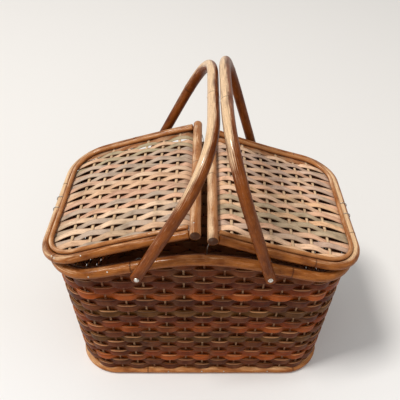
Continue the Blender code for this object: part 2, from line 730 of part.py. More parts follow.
def add_handle(word, side, reach, bend_length, lean, seat_depth, seat_length):
    """One handle on an empty at its rivets, and the two rivets that carry it."""
    pivot = add_empty(
        word + "_handle_pivot", (side * PIVOT_X, 0, PIVOT_HEIGHT), -side * math.radians(lean)
    )
    tube = add_tube(word + "_handle", handle_path(reach, bend_length), HANDLE_RADIUS, handle_rattan, domed=True, parent=pivot)
    handle = as_mesh(tube)
    cut(handle, rivet_hole_cutter)
    seat = bmesh.new()
    for end in (-1, 1):
        block = bmesh.ops.create_cube(seat, size=1)["verts"]
        size = (2 * HANDLE_RADIUS + CUT_OVERRUN, CUT_OVERRUN, seat_length + HANDLE_TAIL + CUT_OVERRUN)
        bmesh.ops.scale(seat, vec=size, verts=block)
        face = HANDLE_HALF_WIDTH + HANDLE_RADIUS - seat_depth
        place = (0, end * (face + CUT_OVERRUN / 2), seat_length - size[2] / 2)
        bmesh.ops.translate(seat, vec=place, verts=block)
    cut(handle, add_cutter(word + "_seat_cutter", seat, pivot))

    head_base = HANDLE_HALF_WIDTH + HANDLE_RADIUS - seat_depth + GAP
    for place, end in (("front", -1), ("back", 1)):
        add_turned(
            f"{word}_{place}_rivet",
            rivet_profile(head_base - rivet_inner_end),
            rivet_steel,
            (side * PIVOT_X, end * head_base, PIVOT_HEIGHT),
            (0, end, 0),
        )
        add_turned(
            f"{word}_{place}_washer",
            washer_profile,
            rivet_steel,
            (side * PIVOT_X, end * washer_face, PIVOT_HEIGHT),
            (0, end, 0),
        )


add_handle(
    "left",
    -1,
    LEFT_HANDLE_REACH,
    LEFT_HANDLE_BEND,
    LEFT_HANDLE_LEAN,
    LEFT_SEAT_DEPTH,
    RIVET_HEAD_RADIUS + 2 * GAP,
)
add_handle(
    "right",
    1,
    RIGHT_HANDLE_REACH,
    RIGHT_HANDLE_BEND,
    RIGHT_HANDLE_LEAN,
    RIGHT_LAP_DEPTH,
    RIGHT_LAP_LENGTH,
)
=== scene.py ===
# %% [markdown]
# # A pie basket of rattan and cane
# The basket has a woven wall between a base pole and a rim pole, two woven lids that hinge at its ends, and two
# bow handles on rivets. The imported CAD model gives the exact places, so this lesson loads it first as a frame.
# It then dresses that frame, piece by piece, in real canes, poles and nails.

# %% Load the frame
import math

import bpy
import numpy
from mathutils import Matrix, Vector


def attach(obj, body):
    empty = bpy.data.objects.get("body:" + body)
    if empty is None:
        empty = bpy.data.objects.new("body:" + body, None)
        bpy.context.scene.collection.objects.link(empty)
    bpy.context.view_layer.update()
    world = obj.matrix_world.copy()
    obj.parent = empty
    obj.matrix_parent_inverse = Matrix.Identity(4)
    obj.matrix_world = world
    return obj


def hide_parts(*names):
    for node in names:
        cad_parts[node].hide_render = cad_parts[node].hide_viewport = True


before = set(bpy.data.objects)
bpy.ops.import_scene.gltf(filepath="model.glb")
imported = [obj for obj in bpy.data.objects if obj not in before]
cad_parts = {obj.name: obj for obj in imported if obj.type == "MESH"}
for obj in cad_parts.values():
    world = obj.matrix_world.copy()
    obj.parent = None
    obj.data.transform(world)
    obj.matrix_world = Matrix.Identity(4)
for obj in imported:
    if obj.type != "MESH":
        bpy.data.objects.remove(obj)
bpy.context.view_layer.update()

# %% [markdown]
# ## Sizes that the pieces share
# A pole bends round the rim, so its path is a rectangle with round corners that humps up in the middle of both
# long sides. The sizes are the CAD model's own, in metres, because each new piece lies where its node lies.

# %% Sizes of the rings, the lids and the handles
RIM = (0.2100, 0.1400, 0.0620)
BASE = (0.1985, 0.1293, 0.0580)
WALL_FOOT = (0.2020, 0.1328, 0.0615)
WALL_TOP = (0.2090, 0.1390, 0.0610)
RIM_HEIGHT = 0.2425
RIM_HUMP = 0.0350
RIM_RADIUS = 0.0074
BASE_HEIGHT = 0.0060
BASE_RADIUS = 0.0065
WALL_FOOT_HEIGHT = 0.0128

HINGE_X = 0.2190
HINGE_HEIGHT = 0.252562
LID_TILT = {"left": math.radians(17.6), "right": math.radians(15.3)}
LID_BOW = {"left": 0.0025, "right": -0.0040}
LID_HALF_WIDTH = 0.1330
LID_CORNER = 0.0545
ROD_U = 0.21667
ARM_END = 0.20917

PIVOT_X = 0.0865
PIVOT_HEIGHT = 0.261769
HANDLE_HALF_WIDTH = 0.1554
HANDLE_RADIUS = 0.0077
HANDLE_REACH = {"left": 0.1985, "right": 0.1955}
HANDLE_BEND = {"left": 0.0920, "right": 0.1040}
HANDLE_LEAN = {"left": math.radians(28.4), "right": math.radians(18.7)}
SIDES = {"left": -1, "right": 1}


def rim_height(x):
    """The height of the rim's centreline at a place along the basket."""
    share = numpy.minimum(numpy.abs(x) / RIM[0], 1)
    return RIM_HEIGHT + RIM_HUMP * (1 + numpy.cos(math.pi * share)) / 2


print("rim from", rim_height(RIM[0]), "to", rim_height(0))

# %% [markdown]
# ## The camera
# The photograph looks down on the basket from the front, a little from the left. A long list of points on the
# poles gave the camera's place and turn by least squares. Blender wants them as a matrix whose columns are the
# camera's right, its up and its back.

# %% Camera at the photograph's angle
CAMERA_PLACE = Vector((-0.00629, -0.58364, 0.71293))
CAMERA_PITCH = math.radians(44.298)
CAMERA_YAW = math.radians(5.097)
CAMERA_ROLL = math.radians(4.421)
CAMERA_LENS = 42.965
CAMERA_SHIFT = (-0.07516, 0.15013)

bpy.ops.object.camera_add(location=CAMERA_PLACE)
camera = bpy.context.object
camera.name = "camera"
forward = Vector(
    (
        math.sin(CAMERA_YAW) * math.cos(CAMERA_PITCH),
        math.cos(CAMERA_YAW) * math.cos(CAMERA_PITCH),
        -math.sin(CAMERA_PITCH),
    )
)
level = forward.cross(Vector((0, 0, 1))).normalized()
upright = level.cross(forward)
right = level * math.cos(CAMERA_ROLL) + upright * math.sin(CAMERA_ROLL)
up = upright * math.cos(CAMERA_ROLL) - level * math.sin(CAMERA_ROLL)
camera.matrix_world = Matrix.Translation(CAMERA_PLACE) @ Matrix((right, up, -forward)).transposed().to_4x4()
camera.data.lens = CAMERA_LENS
camera.data.sensor_width = 36
camera.data.shift_x, camera.data.shift_y = CAMERA_SHIFT
camera.data.clip_start = 0.01
bpy.context.scene.camera = camera
print("camera looks along", [round(value, 3) for value in forward])

# %% [markdown]
# ## Helpers for nodes
# A material is a tree of nodes. Written out one by one that gets long, so two short helpers add a node and set
# its sockets, either to a value or to another node's output.

# %% Helpers that build a node tree


def paint(red, green, blue):
    """A colour as a paint card gives it, from 0 to 255, in the linear light that Blender works in."""
    levels = [value / 255 for value in (red, green, blue)]
    return (*[level / 12.92 if level <= 0.04045 else ((level + 0.055) / 1.055) ** 2.4 for level in levels], 1)


def add_node(tree, kind, inputs=(), **settings):
    """Adds a node, with its settings and its inputs: a value stays in the socket, an output is linked to it."""
    made = tree.nodes.new("ShaderNode" + kind)
    for word, value in settings.items():
        setattr(made, word, value)
    for key, value in dict(inputs).items():
        if isinstance(value, bpy.types.NodeSocket):
            tree.links.new(value, made.inputs[key])
        else:
            made.inputs[key].default_value = value
    return made


def mix(tree, share, first, second, blend="MIX"):
    """The colour between two colours, at a share from 0 to 1."""
    return add_node(tree, "Mix", {0: share, 6: first, 7: second}, data_type="RGBA", blend_type=blend).outputs[2]


def remap(tree, value, low, high, new_low=0.0, new_high=1.0):
    """A value stretched from one span to another, and held inside it."""
    spans = {"Value": value, "From Min": low, "From Max": high, "To Min": new_low, "To Max": new_high}
    return add_node(tree, "MapRange", spans).outputs[0]


def maths(tree, operation, first, second):
    """One sum on two values."""
    return add_node(tree, "Math", {0: first, 1: second}, operation=operation).outputs[0]


def new_group(name, inputs, outputs):
    """An empty node group with its named inputs and outputs. Returns it with its input and output nodes."""
    group = bpy.data.node_groups.new(name, "ShaderNodeTree")
    for word, kind, value in inputs:
        socket = group.interface.new_socket(word, in_out="INPUT", socket_type="NodeSocket" + kind)
        if value is not None:
            socket.default_value = value
    for word, kind in outputs:
        group.interface.new_socket(word, in_out="OUTPUT", socket_type="NodeSocket" + kind)
    return group, group.nodes.new("NodeGroupInput"), group.nodes.new("NodeGroupOutput")


def use_group(tree, group, inputs):
    """Places a node group in a material, with that material's own values."""
    return add_node(tree, "Group", inputs, node_tree=group)


print("node helpers ready")

# %% [markdown]
# ## The grain of rattan and cane
# Rattan is a climbing palm. Its fibres run along the stem as fine pale and dark streaks, the stain takes
# unevenly in long blotches, and small dark flecks sit in the pores. All canes and poles share that grain, so it
# is one node group. Each piece's UV map is in metres, with u along the piece and v across it, so a noise that is
# stretched along u gives streaks which follow every bend.

# %% Node group: cane grain
cane_grain, grain_in, grain_out = new_group(
    "cane grain",
    [("Place", "Vector", None), ("Streaks", "Float", 1400.0), ("Blotches", "Float", 55.0)],
    [("Fibre", "Float"), ("Blotch", "Float"), ("Fleck", "Float"), ("Scuff", "Float")],
)
streak_scale = add_node(cane_grain, "CombineXYZ", {0: 30.0, 1: grain_in.outputs["Streaks"], 2: 1.0})
streak_place = add_node(
    cane_grain, "VectorMath", {0: grain_in.outputs["Place"], 1: streak_scale.outputs[0]}, operation="MULTIPLY"
)
streak_noise = add_node(
    cane_grain, "TexNoise", {"Vector": streak_place.outputs[0], "Scale": 1.0, "Detail": 5.0, "Roughness": 0.62}
)
blotch_place = add_node(
    cane_grain, "VectorMath", {0: grain_in.outputs["Place"], 1: (1.0, 2.4, 1.0)}, operation="MULTIPLY"
)
blotch_noise = add_node(
    cane_grain,
    "TexNoise",
    {"Vector": blotch_place.outputs[0], "Scale": grain_in.outputs["Blotches"], "Detail": 3.0, "Roughness": 0.55},
)
fleck_place = add_node(
    cane_grain, "VectorMath", {0: grain_in.outputs["Place"], 1: (260.0, 1500.0, 1.0)}, operation="MULTIPLY"
)
fleck_noise = add_node(
    cane_grain, "TexNoise", {"Vector": fleck_place.outputs[0], "Scale": 1.0, "Detail": 2.0, "Roughness": 0.5}
)
scuff_place = add_node(
    cane_grain, "VectorMath", {0: grain_in.outputs["Place"], 1: (120.0, 900.0, 1.0)}, operation="MULTIPLY"
)
scuff_noise = add_node(
    cane_grain, "TexNoise", {"Vector": scuff_place.outputs[0], "Scale": 1.0, "Detail": 4.0, "Roughness": 0.7}
)
for word, value in (
    ("Fibre", remap(cane_grain, streak_noise.outputs[0], 0.30, 0.70)),
    ("Blotch", remap(cane_grain, blotch_noise.outputs[0], 0.30, 0.70)),
    ("Fleck", remap(cane_grain, fleck_noise.outputs[0], 0.60, 0.72)),
    ("Scuff", remap(cane_grain, scuff_noise.outputs[0], 0.54, 0.66)),
):
    cane_grain.links.new(value, grain_out.inputs[word])
print("group", cane_grain.name, "has", len(cane_grain.nodes), "nodes")

# %% [markdown]
# ## Finishes of the poles
# The poles keep the palm's hard skin, under an old varnish that gives a soft, warm shine. Between its joints the
# skin is honey brown, darker where the stain lies thick and paler where hands wore it down. Its upper side is
# also painted paler, as a painted highlight, and its underside darker, as painted shade. At each joint of the stem
# a thin dark ring runs round. The pieces carry two numbers for this on their corners: ring, which is 1 on a
# joint's line and on a rod's dark end, and a second one, which grows where the pole is bleached, where hands wore
# it and on its lit side, and goes below zero on its shaded side, for the painted shade.

# %% Material maker for poles
VARNISH = (1.0, 0.68, 0.36, 1)
LIGHT_VARNISH = (1.0, 0.84, 0.62, 1)


def grain_of(tree, streaks, blotches):
    """The grain node of a material, read from the piece's own UV map."""
    place = add_node(tree, "TexCoord").outputs["UV"]
    return use_group(tree, cane_grain, {"Place": place, "Streaks": streaks, "Blotches": blotches})


def corner_value(tree, word):
    """A number that a piece carries on its corners."""
    return add_node(tree, "Attribute", attribute_name=word).outputs["Fac"]


def new_material(name):
    """An empty node material. Returns it with its tree and its shader."""
    made = bpy.data.materials.new(name)
    made.use_nodes = True
    return made, made.node_tree, made.node_tree.nodes["Principled BSDF"]


def add_bump(tree, shader, height, depth):
    """Bump of a depth in metres, from a height that runs from 0 to 1."""
    bump = add_node(tree, "Bump", {"Strength": 1.0, "Distance": depth, "Height": height})
    tree.links.new(bump.outputs[0], shader.inputs["Normal"])


def pole_finish(name, dark, plain, pale, ring_colour):
    """Varnished rattan skin: stained hollows and painted shade below, bleached parts paler from handling and a
    painted highlight on top.
    """
    made, tree, shader = new_material(name)
    grain = grain_of(tree, 1100.0, 34.0)
    stain = mix(tree, remap(tree, grain.outputs["Blotch"], 0.0, 0.65), dark, plain)
    wear_and_light = corner_value(tree, "paleness_and_light")
    # Painted shade: where the number falls below zero, on the side facing away from the light, the skin turns dark.
    shaded = mix(tree, remap(tree, wear_and_light, -0.50, -0.15, 0.65, 0.0), stain, dark)
    streaky = remap(tree, grain.outputs["Fibre"], 0.1, 0.9, -0.34, 0.24)
    blotchy = remap(tree, grain.outputs["Blotch"], 0.2, 1.0, -0.14, 0.14)
    paleness_and_light = maths(tree, "ADD", wear_and_light, maths(tree, "ADD", streaky, blotchy))
    # Where the number is high the skin turns pale: partly from handling, partly a painted highlight on the lit
    # side.
    skin = mix(tree, remap(tree, paleness_and_light, 0.12, 0.70), shaded, pale)
    scuffs = maths(tree, "MULTIPLY", grain.outputs["Scuff"], remap(tree, paleness_and_light, 0.1, 0.8, 0.08, 0.6))
    scuffed = mix(tree, scuffs, skin, pale)
    streaked = mix(tree, remap(tree, grain.outputs["Fibre"], 0.0, 0.9, 0.60, 0.0), scuffed, dark)
    flecked = mix(tree, maths(tree, "MULTIPLY", grain.outputs["Fleck"], 0.55), streaked, ring_colour)
    ringed = mix(tree, maths(tree, "MULTIPLY", corner_value(tree, "ring"), 0.8), flecked, ring_colour)
    tree.links.new(ringed, shader.inputs["Base Color"])
    rough = remap(tree, grain.outputs["Fibre"], 0.0, 1.0, 0.46, 0.30)
    tree.links.new(rough, shader.inputs["Roughness"])
    shader.inputs["Specular IOR Level"].default_value = 0.10
    shader.inputs["Specular Tint"].default_value = VARNISH
    tree.links.new(remap(tree, paleness_and_light, -0.1, 0.7, 0.12, 0.65), shader.inputs["Coat Weight"])
    shader.inputs["Coat Roughness"].default_value = 0.15
    shader.inputs["Coat Tint"].default_value = LIGHT_VARNISH
    add_bump(tree, shader, maths(tree, "ADD", grain.outputs["Fibre"], grain.outputs["Fleck"]), 0.00012)
    return made


golden_rattan = pole_finish(
    "golden rattan", paint(104, 50, 14), paint(168, 102, 46), paint(246, 218, 182), paint(56, 22, 8)
)
pale_rattan = pole_finish(
    "pale rattan", paint(140, 80, 36), paint(192, 134, 84), paint(250, 228, 198), paint(58, 24, 8)
)
handle_rattan = pole_finish(
    "smoked handle rattan", paint(84, 34, 6), paint(140, 74, 24), paint(248, 222, 190), paint(50, 20, 6)
)
base_rattan = pole_finish(
    "base rattan", paint(120, 60, 20), paint(196, 130, 74), paint(240, 202, 156), paint(60, 24, 8)
)
print("pole finishes", [made.name for made in (golden_rattan, pale_rattan, handle_rattan, base_rattan)])

# %% [markdown]
# ## Finishes of the woven canes
# A lid's flat canes are split from the pale inside of the stem, and each took the weather in its own way: peach,
# cream, greenish or greyish. The wall's canes were stained in several browns. Each cane therefore carries its
# own colour on its corners, and the material only adds grain, blotches, painted shade along both sides of a cane
# and in the wall's hollows and grooves, and pale lips that are partly from use and partly a painted highlight.

# %% Material maker for woven canes


def cane_finish(name, soil_and_shade, bleach_and_highlight, weather, roughness, varnish, bleach=0.45):
    """A split cane in its own colour, soiled in its pores and bleached on its crown, with painted shade on its
    sides and in hollows, and pale lips partly from use and partly a painted highlight.
    """
    made, tree, shader = new_material(name)
    grain = grain_of(tree, 1500.0, 45.0)
    own = add_node(tree, "Attribute", attribute_name="stain").outputs["Color"]
    place = add_node(tree, "TexCoord").outputs["Object"]
    patches = add_node(tree, "TexNoise", {"Vector": place, "Scale": 26.0, "Detail": 2.0, "Roughness": 0.5})
    weathered = mix(tree, remap(tree, patches.outputs[0], 0.50, 0.66, 0.0, 0.55), own, weather)
    bleached = mix(tree, remap(tree, grain.outputs["Blotch"], 0.35, 1.0, 0.0, bleach), weathered, bleach_and_highlight)
    dulled = mix(tree, remap(tree, grain.outputs["Blotch"], 0.45, 0.0, 0.0, 0.40), bleached, soil_and_shade)
    streaked = mix(tree, remap(tree, grain.outputs["Fibre"], 0.0, 0.8, 0.50, 0.0), dulled, soil_and_shade)
    # Painted shade: a corner number darkens both sides of a lid's cane, where its neighbours meet it, and the
    # wall's hollows and grooves.
    edged = mix(tree, maths(tree, "MULTIPLY", corner_value(tree, "edge"), 0.55), streaked, soil_and_shade)
    flecked = mix(tree, maths(tree, "MULTIPLY", grain.outputs["Fleck"], 0.45), edged, soil_and_shade)
    # Pale lips that face up, partly from use and partly a painted highlight, and the paler inside of the wall's
    # canes.
    rubbed_and_lit = mix(tree, maths(tree, "MULTIPLY", corner_value(tree, "paleness_and_light"), 0.8), flecked, bleach_and_highlight)
    tree.links.new(rubbed_and_lit, shader.inputs["Base Color"])
    shader.inputs["Specular IOR Level"].default_value = 0.08
    shader.inputs["Specular Tint"].default_value = VARNISH
    shader.inputs["Coat Weight"].default_value = varnish
    shader.inputs["Coat Roughness"].default_value = 0.18
    shader.inputs["Coat Tint"].default_value = VARNISH
    rough = remap(tree, grain.outputs["Fibre"], 0.0, 1.0, roughness + 0.08, roughness - 0.08)
    tree.links.new(rough, shader.inputs["Roughness"])
    add_bump(tree, shader, maths(tree, "ADD", grain.outputs["Fibre"], grain.outputs["Blotch"]), 0.00015)
    return made


lid_cane = cane_finish("pale lid cane", paint(104, 62, 40), paint(240, 204, 170), paint(160, 148, 122), 0.50, 0.05)
wall_cane = cane_finish(
    "brown wall cane", paint(30, 10, 3), paint(222, 164, 116), paint(62, 30, 10), 0.38, 0.10, bleach=0.10
)
stake_cane = cane_finish("stake cane", paint(84, 48, 26), paint(226, 190, 150), paint(150, 122, 92), 0.52, 0.04)
print("cane finishes", lid_cane.name, wall_cane.name, stake_cane.name)

# %% [markdown]
# ## Steel, and the wood inside
# The rivets and nails are bright steel dulled by handling, and the wires are duller and darker. Metal has no
# colour of its own under its shine, so the base colour is the shine's colour, and a fine noise breaks up the
# roughness. The band, the battens and the floor inside are plain planed wood: a stretched noise on Object
# coordinates makes their grain, because they are the CAD's own nodes and have no UV map.

# %% Materials for metal and planed wood


def metal_finish(name, bright, tarnish, roughness):
    """Steel with tarnish in patches and fine scratches."""
    made, tree, shader = new_material(name)
    place = add_node(tree, "TexCoord").outputs["Object"]
    patches = add_node(tree, "TexNoise", {"Vector": place, "Scale": 420.0, "Detail": 4.0, "Roughness": 0.6})
    share = remap(tree, patches.outputs[0], 0.38, 0.66)
    tree.links.new(mix(tree, share, bright, tarnish), shader.inputs["Base Color"])
    tree.links.new(remap(tree, share, 0.0, 1.0, roughness, roughness + 0.25), shader.inputs["Roughness"])
    shader.inputs["Metallic"].default_value = 1.0
    add_bump(tree, shader, patches.outputs[0], 0.00008)
    return made


def wood_finish(name, dark, plain, stretch):
    """Planed wood whose grain runs along the axis where stretch is small."""
    made, tree, shader = new_material(name)
    place = add_node(tree, "TexCoord").outputs["Object"]
    drawn = add_node(tree, "VectorMath", {0: place, 1: stretch}, operation="MULTIPLY").outputs[0]
    figure = add_node(tree, "TexNoise", {"Vector": drawn, "Scale": 1.0, "Detail": 6.0, "Roughness": 0.6})
    share = remap(tree, figure.outputs[0], 0.32, 0.68)
    tree.links.new(mix(tree, share, dark, plain), shader.inputs["Base Color"])
    tree.links.new(remap(tree, share, 0.0, 1.0, 0.68, 0.52), shader.inputs["Roughness"])
    add_bump(tree, shader, share, 0.0002)
    return made


rivet_steel = metal_finish("rivet steel", paint(214, 212, 206), paint(140, 130, 118), 0.24)
wire_steel = metal_finish("wire steel", paint(178, 172, 162), paint(96, 72, 56), 0.32)
band_wood = wood_finish("inner band wood", paint(70, 36, 20), paint(120, 70, 42), (18.0, 18.0, 420.0))
batten_wood = wood_finish("batten wood", paint(84, 48, 28), paint(138, 88, 54), (500.0, 18.0, 500.0))
floor_wood = wood_finish("floor wood", paint(112, 70, 42), paint(176, 124, 82), (22.0, 420.0, 60.0))
print("metals and woods", [made.name for made in (rivet_steel, wire_steel, band_wood, batten_wood, floor_wood)])

# %% [markdown]
# ## One helper for every cane and pole
# A cane is a skin wrapped round a line. By hand that is a grid whose two long edges are brought together, so the
# helper adds a grid primitive, gives each corner its place, and lays out the UV map in metres along and across.
# Later the seam is merged in edit mode and the normals are recalculated. The shape of the grid stays even, which
# keeps the streaks of the grain straight along the cane.

# %% Helpers that wrap a grid into a closed skin
NO_STAIN = (0.5, 0.5, 0.5, 1)
WELD = 0.00001
SMOOTH_ANGLE = math.radians(42)


def deselect():
    """Nothing is left selected, so that the next operator acts on its own piece only."""
    if bpy.context.object and bpy.context.object.mode != "OBJECT":
        bpy.ops.object.mode_set(mode="OBJECT")
    bpy.ops.object.select_all(action="DESELECT")


def unit(vectors):
    """Rows of vectors, each brought to length 1."""
    return vectors / numpy.linalg.norm(vectors, axis=1, keepdims=True)


def wrapped_skin(name, stations, turns, place, girth, values):
    """A grid whose corners lie where place says, for each station along it and each share of a turn round it."""
    deselect()
    columns = len(stations)
    bpy.ops.mesh.primitive_grid_add(
        x_subdivisions=columns - 1, y_subdivisions=len(turns) - 1, size=1, calc_uvs=True
    )
    skin = bpy.context.object
    skin.name = name
    mesh = skin.data
    along = numpy.tile(stations, len(turns))
    around = numpy.repeat(turns, columns)
    mesh.vertices.foreach_set("co", place(along, around).ravel())
    corners = numpy.zeros(len(mesh.loops), dtype=numpy.int32)
    mesh.loops.foreach_get("vertex_index", corners)
    places = numpy.stack((along[corners], around[corners] * girth), axis=1)
    shift = values.get("shift", 0.0)
    mesh.uv_layers[0].uv.foreach_set("vector", (places + shift).ravel())
    for word in ("ring", "paleness_and_light", "edge"):
        layer = mesh.attributes.new(word, "FLOAT", "POINT")
        level = values.get(word)
        layer.data.foreach_set("value", numpy.zeros(len(along)) if level is None else level(along, around))
    layer = mesh.attributes.new("stain", "FLOAT_COLOR", "POINT")
    stain = numpy.tile(numpy.array(values.get("stain", NO_STAIN)), (len(along), 1))
    layer.data.foreach_set("color", stain.ravel())
    mesh.update()
    return skin


def joined(name, skins, material):
    """The skins as one piece, its seams merged, its normals outwards, shaded smooth, with its material."""
    deselect()
    for skin in skins:
        skin.select_set(True)
    bpy.context.view_layer.objects.active = skins[0]
    if len(skins) > 1:
        bpy.ops.object.join()
    piece = bpy.context.object
    piece.name = name
    piece.data.name = name
    bpy.ops.object.mode_set(mode="EDIT")
    bpy.ops.mesh.select_all(action="SELECT")
    bpy.ops.mesh.remove_doubles(threshold=WELD)
    bpy.ops.mesh.normals_make_consistent(inside=False)
    bpy.ops.object.mode_set(mode="OBJECT")
    bpy.ops.object.shade_smooth_by_angle(angle=SMOOTH_ANGLE)
    piece.data.materials.clear()
    piece.data.materials.append(material)
    print(name, len(piece.data.polygons), "faces")
    return piece


def settle(piece, body, slot, *nodes):
    """The piece moves with a body and stands for CAD nodes. The slot is not used."""
    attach(piece, body)
    if nodes:
        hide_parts(*nodes)


print("skin helpers ready")

# %% [markdown]
# ## Bent poles
# A real pole is never a perfect pipe. It swells a little at each joint, it is slightly oval, and its thickness
# wanders by a few tenths of a millimetre. The helper follows a path, takes a frame across it at each station and
# sets those radii. Stations crowd together at joints and at rounded ends, where the shape changes quickly. The
# side that faces the direction set in the next cell, up and to the left, where hands and light reach, is paler:
# partly from handling and partly a painted highlight. The side that faces away is painted darker, as painted shade.

# %% Numbers of a pole's shape
ROUND_STEPS = 20
POLE_STEP = 0.004
PATH_STEP = 0.0015
THICKNESS_WANDERS = 0.014
OVAL_WANDERS = 0.018
CENTRE_WANDERS = 0.00025
JOINT_SWELL = 0.05
JOINT_SWELL_REACH = 0.0026
JOINT_GROOVE = 0.055
JOINT_GROOVE_REACH = 0.0007
JOINT_GROOVE_PLACE = 0.0011
JOINT_STAIN_REACH = 0.0009
JOINT_STATIONS = numpy.array((-4.0, -2.4, -1.4, -0.8, -0.3, 0.3, 0.8, 1.4, 2.4, 4.0)) / 1000
# The direction that hands and the lamp's light come from. The side facing it is painted paler, partly as a painted
# highlight, and the side facing away darker, as painted shade.
LIGHT_AND_WEAR_FROM = numpy.array((-0.60, -0.12, 0.79))
END_SHARES = numpy.array((0.0, 0.03, 0.12, 0.28, 0.5, 0.75, 1.0))
print("poles have", ROUND_STEPS, "faces round")

# %% Smooth paths and slow wandering


def smooth_path(points, closed, passes=3):
    """A path resampled every 1.5 mm, with its kinks eased. Returns its stations in metres and its points."""
    points = numpy.array(points, dtype=float)
    if closed:
        points = numpy.vstack((points, points[:1]))
    steps = numpy.concatenate(((0,), numpy.cumsum(numpy.linalg.norm(numpy.diff(points, axis=0), axis=1))))
    stations = numpy.linspace(0, steps[-1], int(steps[-1] / PATH_STEP) + 1)
    even = numpy.stack([numpy.interp(stations, steps, points[:, axis]) for axis in range(3)], axis=1)
    for _ in range(passes):
        if closed:
            ring = even[:-1]
            ring = (numpy.roll(ring, 1, axis=0) + 2 * ring + numpy.roll(ring, -1, axis=0)) / 4
            even = numpy.vstack((ring, ring[:1]))
        else:
            even[1:-1] = (even[:-2] + 2 * even[1:-1] + even[2:]) / 4
    return stations, even


def wander(stations, length, draws, waves=7):
    """A smooth random line along a pole that comes back to its start, between about -1 and 1."""
    turns = [
        draws.uniform(0.4, 1.0) * numpy.sin(2 * math.pi * (wave * stations / length + draws.uniform()))
        for wave in range(1, waves + 1)
    ]
    return sum(turns) / math.sqrt(waves)


print("a path of 10 cm gets", len(smooth_path(((0, 0, 0), (0.1, 0, 0)), False)[0]), "points")

# %% Helper that makes a bent pole


def pole(name, points, radius, across, seed, joints=(), closed=False, end=0.6, paleness_and_light=None, cut=None, dark_end=0):
    """A bent pole along a path. Its joints are in metres along it, and across points out of its plane."""
    draws = numpy.random.default_rng(seed)
    path_stations, path = smooth_path(points, closed)
    length = path_stations[-1]
    stations = [numpy.linspace(0, length, int(length / POLE_STEP) + 1)]
    for joint in joints:
        stations.append(joint + JOINT_STATIONS)
    dome = end * radius
    if not closed:
        stations += [END_SHARES * dome, length - END_SHARES * dome]
    if cut:
        stations += [numpy.array(cut["edges"]), length - numpy.array(cut["edges"])]
    stations = numpy.unique(numpy.round(numpy.concatenate(stations), 6))
    stations = stations[(stations >= 0) & (stations <= length)]
    if stations[-1] < length:
        stations[-1] = length
    tangents = numpy.gradient(path, axis=0)
    if closed:
        tangents[0] = tangents[-1] = path[1] - path[-2]
    tangents = unit(tangents)
    thick = wander(stations, length, draws)
    oval = wander(stations, length, draws)
    drift = wander(stations, length, draws, 4)

    def ring_share(along, width):
        """How near each station is to a joint, from 0 to 1."""
        shares = [numpy.exp(-(((along - joint) / width) ** 2)) for joint in joints]
        return numpy.max(shares, axis=0) if shares else numpy.zeros(len(along))

    def frame_at(along, around):
        """The pole's centre, the direction beside it and the direction out of its skin."""
        centre = numpy.stack([numpy.interp(along, path_stations, path[:, axis]) for axis in range(3)], axis=1)
        heading = unit(
            numpy.stack([numpy.interp(along, path_stations, tangents[:, axis]) for axis in range(3)], axis=1)
        )
        beside = unit(numpy.cross(heading, numpy.array(across)))
        over = numpy.cross(beside, heading)
        angle = 2 * math.pi * around[:, None]
        return centre, beside, beside * numpy.cos(angle) + over * numpy.sin(angle)

    def place(along, around):
        centre, beside, out = frame_at(along, around)
        angle = 2 * math.pi * around
        size = 1 + THICKNESS_WANDERS * numpy.interp(along, stations, thick)
        size += OVAL_WANDERS * numpy.interp(along, stations, oval) * numpy.cos(2 * angle)
        groove = JOINT_GROOVE * ring_share(along - JOINT_GROOVE_PLACE, JOINT_GROOVE_REACH)
        size += JOINT_SWELL * ring_share(along, JOINT_SWELL_REACH) - groove
        if not closed:
            near = numpy.minimum(numpy.minimum(along, length - along) / dome, 1)
            size = size * numpy.sqrt(numpy.maximum(1 - (1 - near) ** 2, 0))
        centre = centre + beside * (CENTRE_WANDERS * numpy.interp(along, stations, drift))[:, None]
        corners = centre + radius * size[:, None] * out
        return cut["shape"](corners) if cut else corners

    def paleness_and_light_level(along, around):
        upward = frame_at(along, around)[2] @ LIGHT_AND_WEAR_FROM
        # Paler on the side that faces the light: partly from handling, partly a painted highlight.
        crest = numpy.clip(upward, 0, 1) ** 2.2
        level = 0.50 if paleness_and_light is None else 0.50 + paleness_and_light(along / length, around)
        uneven = 0.20 * numpy.interp(along, stations, thick)
        # The last term is painted shade: below zero on the side that faces down and away from the light.
        return crest * (level + uneven) - 0.15 + 0.6 * numpy.clip(upward - 0.2, -1, 0)

    def ring_level(along, around):
        level = ring_share(along - JOINT_GROOVE_PLACE, JOINT_STAIN_REACH)
        if dark_end and not closed:
            level = numpy.maximum(level, dark_end * (numpy.minimum(along, length - along) < 0.6 * dome))
        return level

    return wrapped_skin(
        name,
        stations,
        numpy.linspace(0, 1, ROUND_STEPS + 1),
        place,
        2 * math.pi * radius,
        {
            "ring": ring_level,
            "paleness_and_light": paleness_and_light_level,
            "shift": draws.uniform(0, 5),
        },
    )


print("pole helper ready")

# %% [markdown]
# ## Base pole and rim pole
# Each is one long pole, steamed, bent round and nailed. Their paths are outlines with round corners, drawn from
# the middle of the front. The rim's path also takes its height from the hump.

# %% Outline with round corners
CORNER_STEPS = 24
# How pale the base pole's upper side is: partly from handling, partly a painted highlight where the light falls on
# it.
BASE_PALENESS_AND_LIGHT = 0.30


def outline_keys(half_length, half_width, corner):
    """Points and outward directions round a rectangle with round corners, from the middle of its front."""
    places = [(0.0, -half_width)]
    outwards = [(0.0, -1.0)]
    for quarter, (side_x, side_y) in enumerate(((1, -1), (1, 1), (-1, 1), (-1, -1))):
        for step in range(CORNER_STEPS + 1):
            angle = math.pi / 2 * (quarter - 1 + step / CORNER_STEPS)
            way = (math.cos(angle), math.sin(angle))
            centre = (side_x * (half_length - corner), side_y * (half_width - corner))
            places.append((centre[0] + corner * way[0], centre[1] + corner * way[1]))
            outwards.append(way)
    return numpy.array(places + places[:1]), numpy.array(outwards + outwards[:1])


